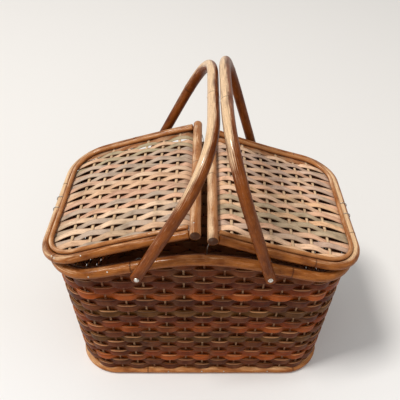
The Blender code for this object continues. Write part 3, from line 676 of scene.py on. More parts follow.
def ring_path(size, height):
    """The path of a pole bent round an outline, at a height that may change along the basket."""
    places, _ = outline_keys(*size)
    runs = zip(places[:-1], places[1:])
    dense = numpy.vstack([first + (last - first) * numpy.linspace(0, 1, 20)[:-1, None] for first, last in runs])
    return numpy.column_stack((dense, height(dense[:, 0])))


def stand(corners):
    """Flattens what would reach below the floor, as years of standing do."""
    corners[:, 2] = numpy.maximum(corners[:, 2], 0)
    return corners


print("the rim's path has", len(ring_path(RIM, rim_height)), "points")

# %% The base pole
base_skin = pole(
    "base_ring",
    ring_path(BASE, lambda x: BASE_HEIGHT + 0 * x),
    BASE_RADIUS,
    (0, 0, 1),
    seed=11,
    joints=(0.155, 0.42, 0.66, 0.93, 1.12),
    closed=True,
    paleness_and_light=lambda share, around: BASE_PALENESS_AND_LIGHT,
    cut={"edges": (), "shape": stand},
)
base_ring = joined("base_ring", [base_skin], base_rattan)
settle(base_ring, "basket", "golden_rattan", "base_pole")

# %% The rim pole
rim_skin = pole(
    "rim_ring",
    ring_path(RIM, rim_height),
    RIM_RADIUS,
    (0, 0, 1),
    seed=12,
    joints=(0.118, 0.34, 0.60, 0.81, 1.02, 1.21),
    closed=True,
)
rim_ring = joined("rim_ring", [rim_skin], golden_rattan)
settle(rim_ring, "basket", "golden_rattan", "rim_pole")

# %% [markdown]
# ## The woven wall
# The wall is a plain weave: stakes stand upright all round, and each row of half round cane passes in front of
# one stake and behind the next. The rows lie close on each other, one stake out of step. A row is one wrapped
# grid whose wave is a cosine with a whole number of waves round the basket, so it closes on itself. Near the top
# the rows meet the underside of the rim's hump: each corner is held under the rim, so the last rows narrow and
# end there, as the weaver's do. The outside of a cane has ridges, which catch the light. Its lips that face up
# are painted pale, partly from use and partly as a painted highlight, and the hollows of its outside and the
# groove under its lip are painted darker, as painted shade.

# %% Sizes of the rows
STAKE_COUNT = 46
ROWS_UNDER_RIM = 0.0004
ROW_LEAST_ROOM = 0.0012
ROW_PITCH = 0.01285
FIRST_ROW = 0.0192
ROW_COUNT = 20
ROW_HALF_HEIGHT = 0.0065
ROW_LAP = 0.0006
ROW_BACK_LAP = 0.0034
ROW_HALF_THICKNESS = 0.00185
ROW_HUG = 0.00035
ROW_CROWN = 0.0004
ROW_INSET = 0.0043
BAND_DEPTH = 0.0155
BAND_FACE = -0.0046
BAND_SQUEEZE = 0.12
ROW_WAVE = 0.0029
ROW_SQUARENESS = 1.5
ROW_STEPS = 8
FACE_TURNS = numpy.array((0, 0.071, 0.109, 0.155, 0.187, 0.224, 0.30, 0.345, 0.39, 0.429, 0.5, 0.60, 0.90, 1.0))
LIP = 0.0005
ROW_RIDGES = ((0.9, 0.10, 1.0), (0.62, 0.12, -0.7), (-0.82, 0.12, 0.5), (-0.5, 0.12, -0.4))
ROW_SAG = 0.0004
ROW_GIRTH = 0.027
LIP_TURN = 0.085
GROOVE_TURN = 0.187
LOW_LIP_TURN = 0.40
NATURAL_INSIDE = 0.7
print("wall:", ROW_COUNT, "rows over", STAKE_COUNT, "stakes")

# %% Stains of the rows
STAINS = {
    "umber": paint(96, 39, 5),
    "russet": paint(122, 47, 7),
    "amber": paint(160, 72, 13),
    "maroon": paint(86, 27, 4),
    "olive": paint(92, 54, 12),
    "plum": paint(90, 35, 8),
}
ROW_STAINS = (
    "umber plum amber russet umber umber olive plum amber russet "
    "maroon olive umber maroon amber russet maroon umber umber umber"
).split()
print("stains", sorted(STAINS))

# %% Places on the wall
foot_places, outwards = outline_keys(*WALL_FOOT)
top_places, _ = outline_keys(*WALL_TOP)
top_runs = numpy.linalg.norm(numpy.diff(top_places, axis=0), axis=1)
key_shares = numpy.concatenate(((0,), numpy.cumsum(top_runs))) / numpy.sum(top_runs)
WALL_GIRTH = float(numpy.sum(top_runs))


def wall_place(share, height, out):
    """Points on the wall: a share of the way round, a height, and a distance out from its outer face."""
    share = share % 1.0
    foot, top, way = (
        numpy.stack([numpy.interp(share, key_shares, keys[:, axis]) for axis in (0, 1)], axis=1)
        for keys in (foot_places, top_places, outwards)
    )
    way = unit(way)
    ceiling = rim_height(top[:, 0]) - RIM_RADIUS + ROWS_UNDER_RIM
    height = numpy.minimum(height, ceiling)
    behind_band = (height > ceiling - BAND_DEPTH) & (out < BAND_FACE)
    out = numpy.where(behind_band, BAND_FACE + BAND_SQUEEZE * (out - BAND_FACE), out)
    rise = (height - WALL_FOOT_HEIGHT) / (ceiling - WALL_FOOT_HEIGHT)
    flat = foot + (top - foot) * rise[:, None] + way * out[:, None]
    return numpy.column_stack((flat, height))


print("the wall is", round(WALL_GIRTH, 3), "m round at its top")

# %% One row of cane


def rounded(level, power):
    """A level from -1 to 1, pushed out towards its ends, which turns a circle into a rounded oblong."""
    return numpy.sign(level) * numpy.abs(level) ** power


def row_skin(number, first, last, draws):
    """One row of cane between two shares of the way round."""
    steps = int(round((last - first) * STAKE_COUNT * ROW_STEPS))
    height = FIRST_ROW + number * ROW_PITCH
    phase = 1 if number % 2 == 0 else -1
    sag = draws.uniform(0, 1)

    def row_wave(along):
        """How far out the row stands, from -1 behind a stake to 1 in front of one."""
        lobe = ROW_SQUARENESS * phase * numpy.cos(math.pi * STAKE_COUNT * along)
        return numpy.tanh(lobe) / math.tanh(ROW_SQUARENESS)

    def place(along, around):
        angle = 2 * math.pi * around
        wave = row_wave(along)
        half_height = ROW_HALF_HEIGHT + numpy.where(wave > 0, ROW_LAP, ROW_BACK_LAP) * wave**2
        across = rounded(numpy.cos(angle), 0.5)
        facing = rounded(numpy.sin(angle), 0.5)
        thick = (ROW_HALF_THICKNESS - ROW_HUG * wave * numpy.sign(facing)) * facing
        ridges = sum(share * numpy.exp(-(((across - at) / width) ** 2)) for at, width, share in ROW_RIDGES)
        thick = thick + numpy.where(numpy.sin(angle) > 0.001, ROW_CROWN * (1 - across**2) + LIP * ridges, 0)
        level = height + half_height * across + ROW_SAG * numpy.sin(2 * math.pi * (3 * along + sag))
        return wall_place(along, level, thick + ROW_WAVE * wave - ROW_INSET)

    def row_painted_shade(along, around):
        """Painted shade in the hollows of the outside and in the groove under the lip."""
        outside = numpy.sin(2 * math.pi * around) > 0.001
        hollow = 0.75 * numpy.clip(-row_wave(along) - 0.1, 0, 1) * outside
        groove = 0.9 * numpy.exp(-(((around - GROOVE_TURN) / 0.02) ** 2))
        return numpy.maximum(hollow, groove)

    def row_wear_and_light(along, around):
        """The lips that face up are paler, partly from use and partly as a painted highlight, each bulge by its own
        share. The inside was never stained dark.
        """
        low_lip = 0.35 * numpy.exp(-(((around - LOW_LIP_TURN) / 0.02) ** 2))
        lip = numpy.exp(-(((around - LIP_TURN) / 0.034) ** 2)) + low_lip
        bulge = numpy.round(along * STAKE_COUNT / 2 + (0 if phase > 0 else 0.5)).astype(int) % len(rubbed_and_lit)
        natural = NATURAL_INSIDE * (numpy.sin(2 * math.pi * around) < -0.001)
        return natural + lip * numpy.clip(0.35 + row_wave(along), 0, 1) * rubbed_and_lit[bulge]

    rubbed_and_lit = draws.uniform(0.2, 1.0, STAKE_COUNT // 2) ** 1.5
    shade = draws.uniform(0.88, 1.12)
    stain = [value * shade for value in STAINS[ROW_STAINS[number]][:3]] + [1]
    shares = numpy.linspace(first, last, steps + 1)
    skin = wrapped_skin(
        f"row_{number}",
        shares,
        FACE_TURNS,
        place,
        ROW_GIRTH,
        {
            "stain": stain,
            "edge": row_painted_shade,
            "paleness_and_light": row_wear_and_light,
            "shift": draws.uniform(0, 5),
        },
    )
    for corner in skin.data.uv_layers[0].uv:
        corner.vector[0] *= WALL_GIRTH
    return skin


def row_end(height):
    """The share of the front at which a row that starts in the middle goes under the rim, or None."""
    shares = numpy.linspace(0, 0.25, 400)
    x = numpy.interp(shares, key_shares, top_places[:, 0])
    room = rim_height(x) - RIM_RADIUS - (height - ROW_HALF_HEIGHT)
    under = numpy.nonzero(room < ROW_LEAST_ROOM)[0]
    return shares[under[0]] if len(under) else None


print("row helpers ready")

# %% All rows of the wall
row_draws = numpy.random.default_rng(21)
row_skins = []
for number in range(ROW_COUNT):
    end = row_end(FIRST_ROW + number * ROW_PITCH)
    if end is None:
        row_skins.append(row_skin(number, 0.0, 1.0, row_draws))
    else:
        for middle in (0.0, 0.5):
            row_skins.append(row_skin(number, middle - end, middle + end, row_draws))
wall_rows = joined("wall_rows", row_skins, wall_cane)
settle(wall_rows, "basket", "wall_weave", "woven_wall")

# %% [markdown]
# ## Stakes of the wall
# The stakes are thin round cane, paler than the rows. They show only as short stretches between two bulges.
# Each is a wrapped grid with few steps, because it is straight and mostly hidden.

# %% Stakes of the wall
WALL_STAKE_RADIUS = 0.0015
WALL_STAKE_GIRTH = 0.011
ABOVE_RIM = 1.0
CANE_TURNS = numpy.linspace(0, 1, 9)


def wall_stake(number, draws):
    """One upright stake, from the base pole to the rim."""
    share = number / STAKE_COUNT

    def place(along, around):
        shares = numpy.full(len(along), share)
        inset = numpy.full(len(along), -ROW_INSET)
        low = wall_place(shares, numpy.full(len(along), WALL_FOOT_HEIGHT), inset)
        high = wall_place(shares, numpy.full(len(along), ABOVE_RIM), inset)
        centre = low + (high - low) * along[:, None]
        angle = 2 * math.pi * around
        radius = WALL_STAKE_RADIUS * numpy.where((along <= 0) | (along >= 1), 0, 1)
        shift = numpy.column_stack((numpy.cos(angle), numpy.sin(angle), 0 * angle))
        return centre + shift * radius[:, None]

    shade = draws.uniform(0.85, 1.1)
    stations = numpy.concatenate(((0, 0.0005), numpy.linspace(0.1, 0.9, 9), (0.9995, 1)))
    values = {"stain": [value * shade for value in paint(108, 62, 42)[:3]] + [1], "shift": draws.uniform(0, 5)}
    return wrapped_skin(f"stake_{number}", stations, CANE_TURNS, place, WALL_STAKE_GIRTH, values)


stake_draws = numpy.random.default_rng(22)
wall_uprights = joined("wall_uprights", [wall_stake(n, stake_draws) for n in range(STAKE_COUNT)], stake_cane)
settle(wall_uprights, "basket", "stake_cane", "wall_stakes")

# %% [markdown]
# ## A lid's own directions
# A lid is built flat and then turned about its hinge. Its places are u, the distance from the hinge, v, across
# the basket, and w, up from the frame's plane. Two helpers turn those into places in the scene and give the
# domed middle plane of the weave.

# %% Places on a lid
PANEL_INSET = 0.0076
PANEL_MIDDLE = -0.0013
PANEL_DOME = 0.0050


def lid_point(word, u, v, w):
    """Places on a lid in the scene, from its own directions."""
    side = SIDES[word]
    tilt = LID_TILT[word]
    return numpy.column_stack(
        (
            side * HINGE_X - side * u * math.cos(tilt) + side * w * math.sin(tilt),
            v + 0 * u,
            HINGE_HEIGHT + u * math.sin(tilt) + w * math.cos(tilt),
        )
    )


def lid_bow(word, u):
    """How far the lid's arms arch, at a distance from the hinge."""
    share = numpy.clip(u / ARM_END, 0, 1)
    return 4 * LID_BOW[word] * share * (1 - share)


def half_width_at(u, inset):
    """Half the width inside the frame at a distance from the hinge."""
    corner = LID_CORNER - inset
    past = numpy.clip(corner - (u - inset), 0, corner)
    return LID_HALF_WIDTH - inset - corner + numpy.sqrt(corner**2 - past**2)


def weave_height(word, u, v):
    """The middle plane of the lid's weave: domed, and down to the binding at its edges."""
    half = (ARM_END - PANEL_INSET) / 2
    along = (u - PANEL_INSET - half) / half
    across = v / half_width_at(u, PANEL_INSET)
    dome = PANEL_DOME * numpy.clip(1 - along**4, 0, 1) * numpy.clip(1 - across**4, 0, 1)
    return PANEL_MIDDLE + dome + lid_bow(word, u)


def lid_frame_path(word, inset, rise):
    """The path of a pole bent round the lid's outer end."""
    corner = LID_CORNER - inset
    arm = numpy.linspace(ARM_END, LID_CORNER, 60)[:-1]
    angle = numpy.linspace(0, math.pi / 2, 30)
    u = numpy.concatenate((arm, LID_CORNER - corner * numpy.sin(angle)))
    v = numpy.concatenate((0 * arm, -corner * (1 - numpy.cos(angle)))) + LID_HALF_WIDTH - inset
    u = numpy.concatenate((u, u[::-1]))
    v = numpy.concatenate((v, -v[::-1]))
    return lid_point(word, u, v, rise + lid_bow(word, u))


print("lid weave rises", round(float(weave_height("left", 0.1, 0.0)) * 1000, 1), "mm above its frame")

# %% [markdown]
# ## The lids' woven canes
# Twenty-two flat canes run from a lid's outer end to its rod, and six thin oval stakes cross them. Each cane
# goes over one stake and under the next, and its neighbour does the opposite. At the outer end the canes dive
# under the binding, and at the rod they bend down under it. The cane's wave is drawn between the stakes with a
# cosine, and its cross section is flat with rounded edges.

# %% Sizes of the flat canes
STRIP_COUNT = 22
STRIP_PITCH = 0.0111
STRIP_HALF_WIDTH = 0.0053
EDGE_CANE_FROM = 0.1195
EDGE_CANE_STRETCH = 2.9
STRIP_HALF_THICKNESS = 0.0005
STRIP_CROWN = 0.0003
STRIP_WAVE = 0.0025
STRIP_LEAN = 0.0006
STRIP_GIRTH = 0.022
STRIP_STEPS = 72
STRIP_TURNS = numpy.array((0, 0.05, 0.14, 0.25, 0.36, 0.45, 0.5, 0.55, 0.68, 0.82, 0.95, 1.0))
BACK_EDGE = (0.094, 0.112)
BACK_WIDER = 0.16
BACK_FLATTER = 0.6
BACK_CANE_LAP = 0.0034
# The last cane at the back edge is brown: painted shade that stands for the shaded inside of the frame there.
BACK_CANE_PAINTED_SHADE = paint(160, 104, 62)
LID_STAKES = {
    "left": (0.0420, 0.0708, 0.1013, 0.1325, 0.1607, 0.1871),
    "right": (0.0446, 0.0715, 0.1011, 0.1322, 0.1617, 0.1899),
}
FIRST_OVER = {"left": -1, "right": 1}
STRIP_END = 0.2135
LAST_KNOT = 0.2030
DIVE_FROM = 0.1985
DIVE_DEPTH = 0.0078
print("lids:", STRIP_COUNT, "canes over", len(LID_STAKES["left"]), "stakes")

# %% Stains of the flat canes
# Each lid's canes are made brighter by a factor, the right lid's more: painted light on the lid that tilts away
# from the lamp.
LID_PAINTED_LIGHT = {"left": 1.10, "right": 1.26}
LID_STAINS = {
    "left": (
        paint(230, 184, 152),
        paint(238, 206, 174),
        paint(178, 168, 136),
        paint(188, 170, 152),
        paint(230, 190, 154),
        paint(218, 174, 146),
    ),
    "right": (
        paint(232, 184, 150),
        paint(236, 196, 162),
        paint(184, 166, 136),
        paint(196, 168, 148),
        paint(228, 184, 142),
        paint(218, 172, 140),
    ),
}
print("stains on each lid", {key: len(stains) for key, stains in LID_STAINS.items()})

# %% One flat cane


def strip_start(v):
    """Where the inside of the frame lies for a cane at a distance across."""
    corner = LID_CORNER - PANEL_INSET
    past = numpy.clip(numpy.abs(v) - (LID_HALF_WIDTH - PANEL_INSET - corner), 0, corner)
    return PANEL_INSET + corner - numpy.sqrt(corner**2 - past**2)


def strip_skin(word, number, draws):
    """One flat cane of a lid."""
    centre = (number - (STRIP_COUNT - 1) / 2) * STRIP_PITCH
    over = FIRST_OVER[word] * (1 if number % 2 == 0 else -1)
    knots = numpy.array((0.0, *LID_STAKES[word], LAST_KNOT, STRIP_END))
    levels = numpy.array((0.0, *[over * (1 if i % 2 == 0 else -1) for i in range(6)], 0.0, 0.0))
    lean = draws.uniform(-STRIP_LEAN, STRIP_LEAN)
    tight = min(max((centre - BACK_EDGE[0]) / (BACK_EDGE[1] - BACK_EDGE[0]), 0), 1)
    half_width = STRIP_HALF_WIDTH * (1 + BACK_WIDER * tight)
    if number == STRIP_COUNT - 1:
        half_width += BACK_CANE_LAP
    lift = STRIP_WAVE * (1 - BACK_FLATTER * tight)

    def place(along, around):
        angle = 2 * math.pi * around
        flat = numpy.cos(angle)
        across = half_width * rounded(flat, 0.8)
        thick = STRIP_HALF_THICKNESS * rounded(numpy.sin(angle), 0.6)
        crown = STRIP_CROWN * (1 - flat**2)
        v = centre + across + lean * (along - 0.5)
        edge_line = numpy.sign(v) * EDGE_CANE_FROM
        v = numpy.where(numpy.abs(v) > EDGE_CANE_FROM, edge_line + (v - edge_line) * EDGE_CANE_STRETCH, v)
        start = strip_start(v)
        u = start + (STRIP_END - start) * along
        span = numpy.clip(numpy.searchsorted(knots, u, side="right") - 1, 0, len(knots) - 2)
        share = (u - knots[span]) / (knots[span + 1] - knots[span])
        ease = (1 - numpy.cos(math.pi * numpy.clip(share, 0, 1))) / 2
        wave = levels[span] * (1 - ease) + levels[span + 1] * ease
        dive = numpy.clip((u - DIVE_FROM) / (STRIP_END - DIVE_FROM), 0, 1)
        sink = DIVE_DEPTH * dive**2 * (3 - 2 * dive)
        w = weave_height(word, numpy.minimum(u, ARM_END), v) + lift * wave + thick + crown - sink
        return lid_point(word, u, v, w)

    # A random tone, times the lid's factor of painted light.
    shade = draws.uniform(0.9, 1.08) * LID_PAINTED_LIGHT[word]
    stain = LID_STAINS[word][int(draws.integers(len(LID_STAINS[word])))]
    # The back cane takes that brown of painted shade.
    if number == STRIP_COUNT - 1:
        stain = BACK_CANE_PAINTED_SHADE
    skin = wrapped_skin(
        f"{word}_cane_{number}",
        numpy.linspace(0, 1, STRIP_STEPS + 1),
        STRIP_TURNS,
        place,
        STRIP_GIRTH,
        {
            "stain": [value * shade for value in stain[:3]] + [1],
            # Painted shade along both sides of the cane, where its neighbours meet it.
            "edge": lambda along, around: numpy.abs(numpy.cos(2 * math.pi * around)) ** 10,
            "shift": draws.uniform(0, 5),
        },
    )
    for corner in skin.data.uv_layers[0].uv:
        corner.vector[0] *= STRIP_END
    return skin


print("flat cane helpers ready")

# %% Weaves of both lids
strip_draws = numpy.random.default_rng(31)
for word in SIDES:
    canes = joined(
        f"{word}_lid_weave", [strip_skin(word, n, strip_draws) for n in range(STRIP_COUNT)], lid_cane
    )
    settle(canes, f"{word}_lid", "lid_weave", f"{word}_lid_panel")

# %% [markdown]
# ## The lids' stakes
# Six thin oval canes run across each lid, from one arm of its frame to the other. They lie in the weave's
# middle plane, so the flat canes touch them from above and below by turns.

# %% Stakes of the lids
LID_STAKE_HALF_WIDTH = 0.0022
LID_STAKE_HALF_THICKNESS = 0.0013
LID_STAKE_GIRTH = 0.010
LID_STAKE_ROOM = 0.0004


def lid_stake(word, number, draws):
    """One oval stake across a lid."""
    u = LID_STAKES[word][number]
    half = float(half_width_at(u, PANEL_INSET)) - LID_STAKE_ROOM

    def place(along, around):
        angle = 2 * math.pi * around
        v = half * (2 * along - 1)
        open_end = numpy.where((along <= 0) | (along >= 1), 0, 1)
        w = weave_height(word, numpy.full(len(v), u), v) + LID_STAKE_HALF_THICKNESS * open_end * numpy.sin(angle)
        return lid_point(word, u + LID_STAKE_HALF_WIDTH * open_end * numpy.cos(angle), v, w)

    shade = draws.uniform(0.9, 1.1)
    stations = numpy.concatenate(((0, 0.0005), numpy.linspace(0.02, 0.98, 41), (0.9995, 1)))
    values = {"stain": [value * shade for value in paint(236, 202, 162)[:3]] + [1], "shift": draws.uniform(0, 5)}
    return wrapped_skin(f"{word}_cross_cane_{number}", stations, CANE_TURNS, place, LID_STAKE_GIRTH, values)


for word in SIDES:
    crossing = joined(f"{word}_lid_cross_canes", [lid_stake(word, n, stake_draws) for n in range(6)], stake_cane)
    settle(crossing, f"{word}_lid", "stake_cane", *[f"{word}_lid_stake_{n + 1}" for n in range(6)])

# %% [markdown]
# ## The lids' poles
# A pole is bent round each lid's outer end and a thinner one lies inside it, over the ends of the canes. A thick
# straight rod closes the inner end. It stands free of the basket, and its cut ends are nearly flat and dark.

# %% Sizes, joints and wear of the lids' poles
ROD_HALF_LENGTH = 0.1398
ROD_RADIUS = 0.0072
ROD_DARK_END = 1.17
LID_FRAME_RADIUS = 0.0058
BINDING_RADIUS = 0.0032
BINDING_INSET = 0.0093
BINDING_RISE = 0.0042
POLE_JOINTS = {
    "left": {"frame": (0.10, 0.27, 0.45), "rod": (0.1575,)},
    "right": {"frame": (0.14, 0.375, 0.50), "rod": (0.1400, 0.248)},
}

# How pale the lids' frames and rods are on the side that faces the light, and where along each frame that is most:
# partly from handling, partly a painted highlight.
FRAME_PALE_AND_LIT_CENTRE = {"left": 0.44, "right": 0.56}
FRAME_PALE_AND_LIT_SPREAD = {"left": 0.12, "right": 0.22}
FRAME_PALE_AND_LIT_MOST = {"left": 1.10, "right": 1.40}
ROD_PALENESS_AND_LIGHT = {"left": 0.05, "right": 0.44}

# %% Poles of both lids
lid_frames = {}
lid_rods = {}

for word, side in SIDES.items():
    tilt = LID_TILT[word]
    lid_normal = (side * math.sin(tilt), 0, math.cos(tilt))
    seed = 40 if word == "left" else 50
    frame_skin = pole(
        f"{word}_frame",
        lid_frame_path(word, 0, 0),
        LID_FRAME_RADIUS,
        lid_normal,
        seed,
        joints=POLE_JOINTS[word]["frame"],
        end=0.2,
        paleness_and_light=lambda share, around: (
            FRAME_PALE_AND_LIT_MOST[word] * numpy.exp(-(((share - FRAME_PALE_AND_LIT_CENTRE[word]) / FRAME_PALE_AND_LIT_SPREAD[word]) ** 2))
        ),
    )
    outer_pole = joined(f"{word}_lid_outer_pole", [frame_skin], golden_rattan)
    settle(outer_pole, f"{word}_lid", "golden_rattan", f"{word}_lid_frame")
    lid_frames[word] = outer_pole

    binding_skin = pole(
        f"{word}_binding",
        lid_frame_path(word, BINDING_INSET, BINDING_RISE),
        BINDING_RADIUS,
        lid_normal,
        seed + 1,
        end=0.2,
    )
    inner_reed = joined(f"{word}_lid_inner_reed", [binding_skin], pale_rattan)
    settle(inner_reed, f"{word}_lid", "pale_rattan", f"{word}_lid_binding")

    rod_line = lid_point(word, numpy.full(3, ROD_U), numpy.array((-1, 0, 1)) * ROD_HALF_LENGTH, numpy.zeros(3))
    rod_skin = pole(
        f"{word}_rod",
        rod_line,
        ROD_RADIUS,
        lid_normal,
        seed + 2,
        joints=POLE_JOINTS[word]["rod"],
        end=0.16,
        paleness_and_light=lambda share, around: ROD_PALENESS_AND_LIGHT[word],
        dark_end=ROD_DARK_END,
    )
    inner_rod = joined(f"{word}_lid_inner_rod", [rod_skin], pale_rattan)
    settle(inner_rod, f"{word}_lid", "pale_rattan", f"{word}_lid_rod")
    lid_rods[word] = inner_rod

# %% [markdown]
# ## The handles
# Each handle is one long pole, bent over a mould: two legs that lean in a little, wide bends and a level top.
# The left one is pared almost flat where its rivet sits, and the right one has a deeper lap with a shoulder, as
# when a pole is thinned so that a rivet reaches through. The lap is made by holding the corners of the skin
# inside a plane, below the shoulder.

# %% Sizes of the handles and their line
HANDLE_TAIL = 0.0090
HANDLE_LEG = 0.0650
HANDLE_TAPER = 0.0010
LAP_DEPTH = {"left": 0.0008, "right": 0.0032}
LAP_LENGTH = {"left": 0.0042, "right": 0.0150}
SHOULDER_STATIONS = (-0.0006, -0.0001, 0.0003, 0.0012)
HANDLE_JOINTS = {"left": (0.3205, 0.520), "right": (0.2790, 0.4710)}
# How much paler each handle grows towards its top on the side that faces the light: partly from handling, partly a
# painted highlight.
HANDLE_PALENESS_AND_LIGHT = {"left": 1.32, "right": 1.05}


def handle_line(reach, bend_length):
    """Half of a handle, from its front end to the middle of its top, as places across and up."""
    leg = numpy.array((HANDLE_HALF_WIDTH, HANDLE_LEG))
    corner = numpy.array((HANDLE_HALF_WIDTH - HANDLE_TAPER, reach))
    start = corner + (leg - corner) / numpy.linalg.norm(leg - corner) * bend_length
    end = corner - numpy.array((bend_length, 0))
    share = numpy.linspace(0, 1, 40)[:, None]
    bend = start * (1 - share) ** 2 + corner * 2 * share * (1 - share) + end * share**2
    return numpy.vstack((((HANDLE_HALF_WIDTH, -HANDLE_TAIL),), (leg,), bend, ((0, reach),)))


print("half a handle has", len(handle_line(HANDLE_REACH["left"], HANDLE_BEND["left"])), "points")

# %% Both handles
for word, side in SIDES.items():
    lean = HANDLE_LEAN[word]
    half = handle_line(HANDLE_REACH[word], HANDLE_BEND[word])
    across = numpy.concatenate((-half[:, 0], half[::-1][1:, 0]))
    above = numpy.concatenate((half[:, 1], half[::-1][1:, 1]))
    handle_path = numpy.column_stack(
        (
            side * PIVOT_X - side * above * math.sin(lean),
            across,
            PIVOT_HEIGHT + above * math.cos(lean),
        )
    )

    def lap(corners, lean=lean, side=side, word=word):
        """Holds the corners near both ends inside the lap's plane."""
        out_leg = side * (corners[:, 0] - side * PIVOT_X) * math.sin(lean)
        up_leg = (corners[:, 2] - PIVOT_HEIGHT) * math.cos(lean) - out_leg
        face = HANDLE_HALF_WIDTH + HANDLE_RADIUS - LAP_DEPTH[word]
        held = numpy.clip(corners[:, 1], -face, face)
        lapped = corners.copy()
        lapped[:, 1] = numpy.where(up_leg < LAP_LENGTH[word], held, corners[:, 1])
        return lapped

    shoulder = HANDLE_TAIL + LAP_LENGTH[word]
    handle_skin = pole(
        f"{word}_bow",
        handle_path,
        HANDLE_RADIUS,
        (side * math.cos(lean), 0, math.sin(lean)),
        seed=60 + side,
        joints=HANDLE_JOINTS[word],
        end=0.7,
        paleness_and_light=lambda share, around: HANDLE_PALENESS_AND_LIGHT[word] * numpy.clip(numpy.sin(math.pi * share), 0, 1) ** 1.8 - 0.30,
        cut={"edges": [shoulder + step for step in SHOULDER_STATIONS], "shape": lap},
    )
    bow = joined(f"{word}_bow_handle", [handle_skin], handle_rattan)
    settle(bow, f"{word}_handle", "handle_rattan", f"{word}_handle")

# %% [markdown]
# ## Nails
# Small nails hold the base pole, the rim and the lids' poles. Some show in the photograph as pale dots, and the
# others are guesses at the same spacing. One nail is modelled: a short cylinder whose top edge gets a bevel in
# edit mode, so that its head is domed. Each copy has its own mesh, and it is set on the skin of its pole at the
# nearest point, with the head turned the way the skin faces.

# %% The first nail
NAIL_RADIUS = 0.0012
NAIL_LENGTH = 0.0040
NAIL_STANDS = 0.0005

deselect()
bpy.ops.mesh.primitive_cylinder_add(vertices=14, radius=NAIL_RADIUS, depth=NAIL_LENGTH)
first_nail = bpy.context.object
bpy.ops.object.mode_set(mode="EDIT")
bpy.ops.mesh.select_all(action="DESELECT")
bpy.ops.object.mode_set(mode="OBJECT")
for face in first_nail.data.polygons:
    face.select = face.normal.z > 0.9
bpy.ops.object.mode_set(mode="EDIT")
bpy.ops.mesh.bevel(offset=NAIL_RADIUS * 0.7, segments=3, affect="EDGES")
bpy.ops.object.mode_set(mode="OBJECT")
print("a nail has", len(first_nail.data.polygons), "faces")

# %% Copies on the poles


def nails(name, body, places):
    """Copies of the first nail on the skin of their pieces, joined into one piece."""
    copies = []
    for piece, near in places:
        seat, way = piece.closest_point_on_mesh(Vector(near))[1:3]
        turn = way.to_track_quat("Z", "Y").to_matrix().to_4x4()
        mesh = first_nail.data.copy()
        mesh.transform(Matrix.Translation(seat + way * (NAIL_STANDS - NAIL_LENGTH / 2)) @ turn)
        copy = bpy.data.objects.new(name, mesh)
        bpy.context.collection.objects.link(copy)
        copies.append(copy)
    made = joined(name, copies, rivet_steel)
    settle(made, body, "rivet_steel")


print("nail helper ready")

# %% Where the nails sit
BASE_NAILS = [(x, -0.140, 0.0085) for x in (-0.0562, 0.0, 0.0375, 0.1124)]
BASE_NAILS += [(x, 0.140, 0.0085) for x in (-0.110, -0.030, 0.045, 0.120)]
BASE_NAILS += [(side * 0.210, y, 0.0085) for side in (-1, 1) for y in (-0.050, 0.040)]
RIM_NAILS = [(-0.1525, -0.160, 0.252), (-0.1285, -0.160, 0.268)]
RIM_NAILS += [(-0.128, 0.160, 0.262), (0.135, 0.160, 0.262), (-0.230, 0.045, 0.243), (0.230, -0.045, 0.243)]
LID_NAILS = {
    "left": (
        ((0.0190, -0.126, 0.012), (0.0235, -0.132, 0.012), (0.0650, -0.139, 0.012), (0.0235, 0.132, 0.012)),
        ((0.2170, -0.1215, 0.015), (0.2170, 0.1215, 0.015)),
    ),
    "right": (((0.0235, 0.132, 0.012), (0.0700, 0.139, 0.012)), ((0.2170, 0.1215, 0.015),)),
}
basket_places = [(base_ring, near) for near in BASE_NAILS] + [(rim_ring, near) for near in RIM_NAILS]
nails("basket_nails", "basket", basket_places)
for word in SIDES:
    frame_places, rod_places = LID_NAILS[word]
    places = []
    for piece, flat in ((lid_frames[word], frame_places), (lid_rods[word], rod_places)):
        u, v, w = numpy.array(flat).T
        places += [(piece, near) for near in lid_point(word, u, v, w)]
    nails(f"{word}_lid_nails", f"{word}_lid", places)
bpy.data.objects.remove(first_nail)

# %% [markdown]
# ## Materials for the CAD's own pieces
# The wires, the washers and the wood inside keep the CAD's shape, which is already right, and only get finishes.

# %% Finish the nodes that stay
STAYING = {
    "rim_inner_band": band_wood,
    "floor_panel": floor_wood,
    "front_stay_wire": wire_steel,
    "back_stay_wire": wire_steel,
}
for number in (1, 2, 3):
    STAYING[f"floor_batten_{number}"] = batten_wood
for word in SIDES:
    for place in ("front", "back"):
        STAYING[f"{word}_{place}_hinge_ring"] = wire_steel
        STAYING[f"{word}_{place}_rivet"] = rivet_steel
        STAYING[f"{word}_{place}_washer"] = rivet_steel
for name, material in STAYING.items():
    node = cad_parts[name]
    if not node.material_slots:
        node.data.materials.append(material)
    for slot in node.material_slots:
        slot.material = material
print(len(STAYING), "CAD nodes finished")

# %% [markdown]
# ## The floor
# The basket stands on a plain pale floor. Its colour has a faint noise, and it is painted a little darker and
# warmer towards the back, as painted shade.

# %% Floor
deselect()
bpy.ops.mesh.primitive_plane_add(size=12, location=(0, 0, 0))
floor = bpy.context.object
floor.name = "studio_floor"
floor_finish, floor_tree, floor_shader = new_material("pale studio floor")
floor_place = add_node(floor_tree, "TexCoord").outputs["Object"]
floor_noise = add_node(floor_tree, "TexNoise", {"Vector": floor_place, "Scale": 3.0, "Detail": 2.0})
floor_depth = add_node(floor_tree, "SeparateXYZ", {0: floor_place}).outputs[1]
floor_shade = maths(floor_tree, "ADD", floor_depth, maths(floor_tree, "MULTIPLY", floor_noise.outputs[0], 0.04))
floor_share = remap(floor_tree, floor_shade, -0.38, 0.04)
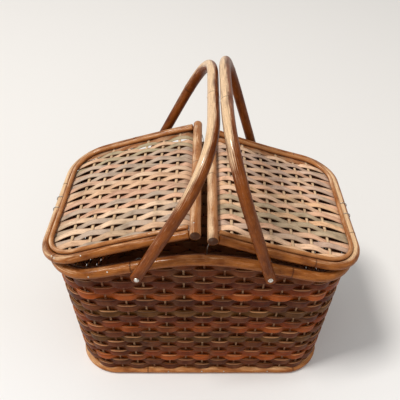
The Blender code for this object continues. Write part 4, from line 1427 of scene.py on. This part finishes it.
# Painted shade: near white in front, darker and warmer towards the back.
floor_colour = mix(floor_tree, floor_share, paint(243, 242, 241), paint(234, 230, 225))
floor_tree.links.new(floor_colour, floor_shader.inputs["Base Color"])
floor_shader.inputs["Roughness"].default_value = 0.9
floor_shader.inputs["Specular IOR Level"].default_value = 0.1
floor.data.materials.append(floor_finish)
print("floor", [round(side, 1) for side in floor.dimensions])

# %% [markdown]
# ## Light and backdrop
# A large soft lamp high up on the left, a little in front of the basket, lights the lids and leaves the front
# wall in shade, and the shadow falls to the right. A weak lamp in front keeps the wall's colours. The world fills
# in the shade, and what the camera, a reflection or clear glass shows of it is a pale backdrop.

# %% World and lamps
world = bpy.data.worlds.new("studio")
bpy.context.scene.world = world
world.use_nodes = True
world_tree = world.node_tree
world_tree.nodes.clear()
seen = add_node(world_tree, "LightPath")
backdrop = add_node(world_tree, "Background", {"Color": paint(238, 233, 227), "Strength": 1.0})
fill = add_node(world_tree, "Background", {"Color": (0.98, 0.99, 1.0, 1), "Strength": 0.5})
shown = maths(world_tree, "MAXIMUM", seen.outputs["Is Camera Ray"], seen.outputs["Is Glossy Ray"])
shown = maths(world_tree, "MAXIMUM", shown, seen.outputs["Is Transmission Ray"])
world_mix = add_node(world_tree, "MixShader", {0: shown, 1: fill.outputs[0], 2: backdrop.outputs[0]})
world_out = add_node(world_tree, "OutputWorld")
world_tree.links.new(world_mix.outputs[0], world_out.inputs["Surface"])


def add_lamp(name, place, target, size, power, colour):
    """A square soft lamp that looks at a target."""
    bpy.ops.object.light_add(type="AREA", location=place)
    lamp = bpy.context.object
    lamp.name = name
    lamp.data.size = size
    lamp.data.energy = power
    lamp.data.color = colour
    lamp.rotation_euler = (Vector(target) - Vector(place)).to_track_quat("-Z", "Y").to_euler()
    print(name, power, "W")


add_lamp("key lamp", (-2.9, -0.9, 5.9), (0, 0, 0.15), 1.5, 305, (1.0, 0.99, 0.97))
add_lamp("front fill lamp", (0.6, -2.4, 1.8), (0, 0, 0.15), 1.6, 6, (1.0, 1.0, 1.0))
bpy.context.scene.view_settings.view_transform = "Standard"
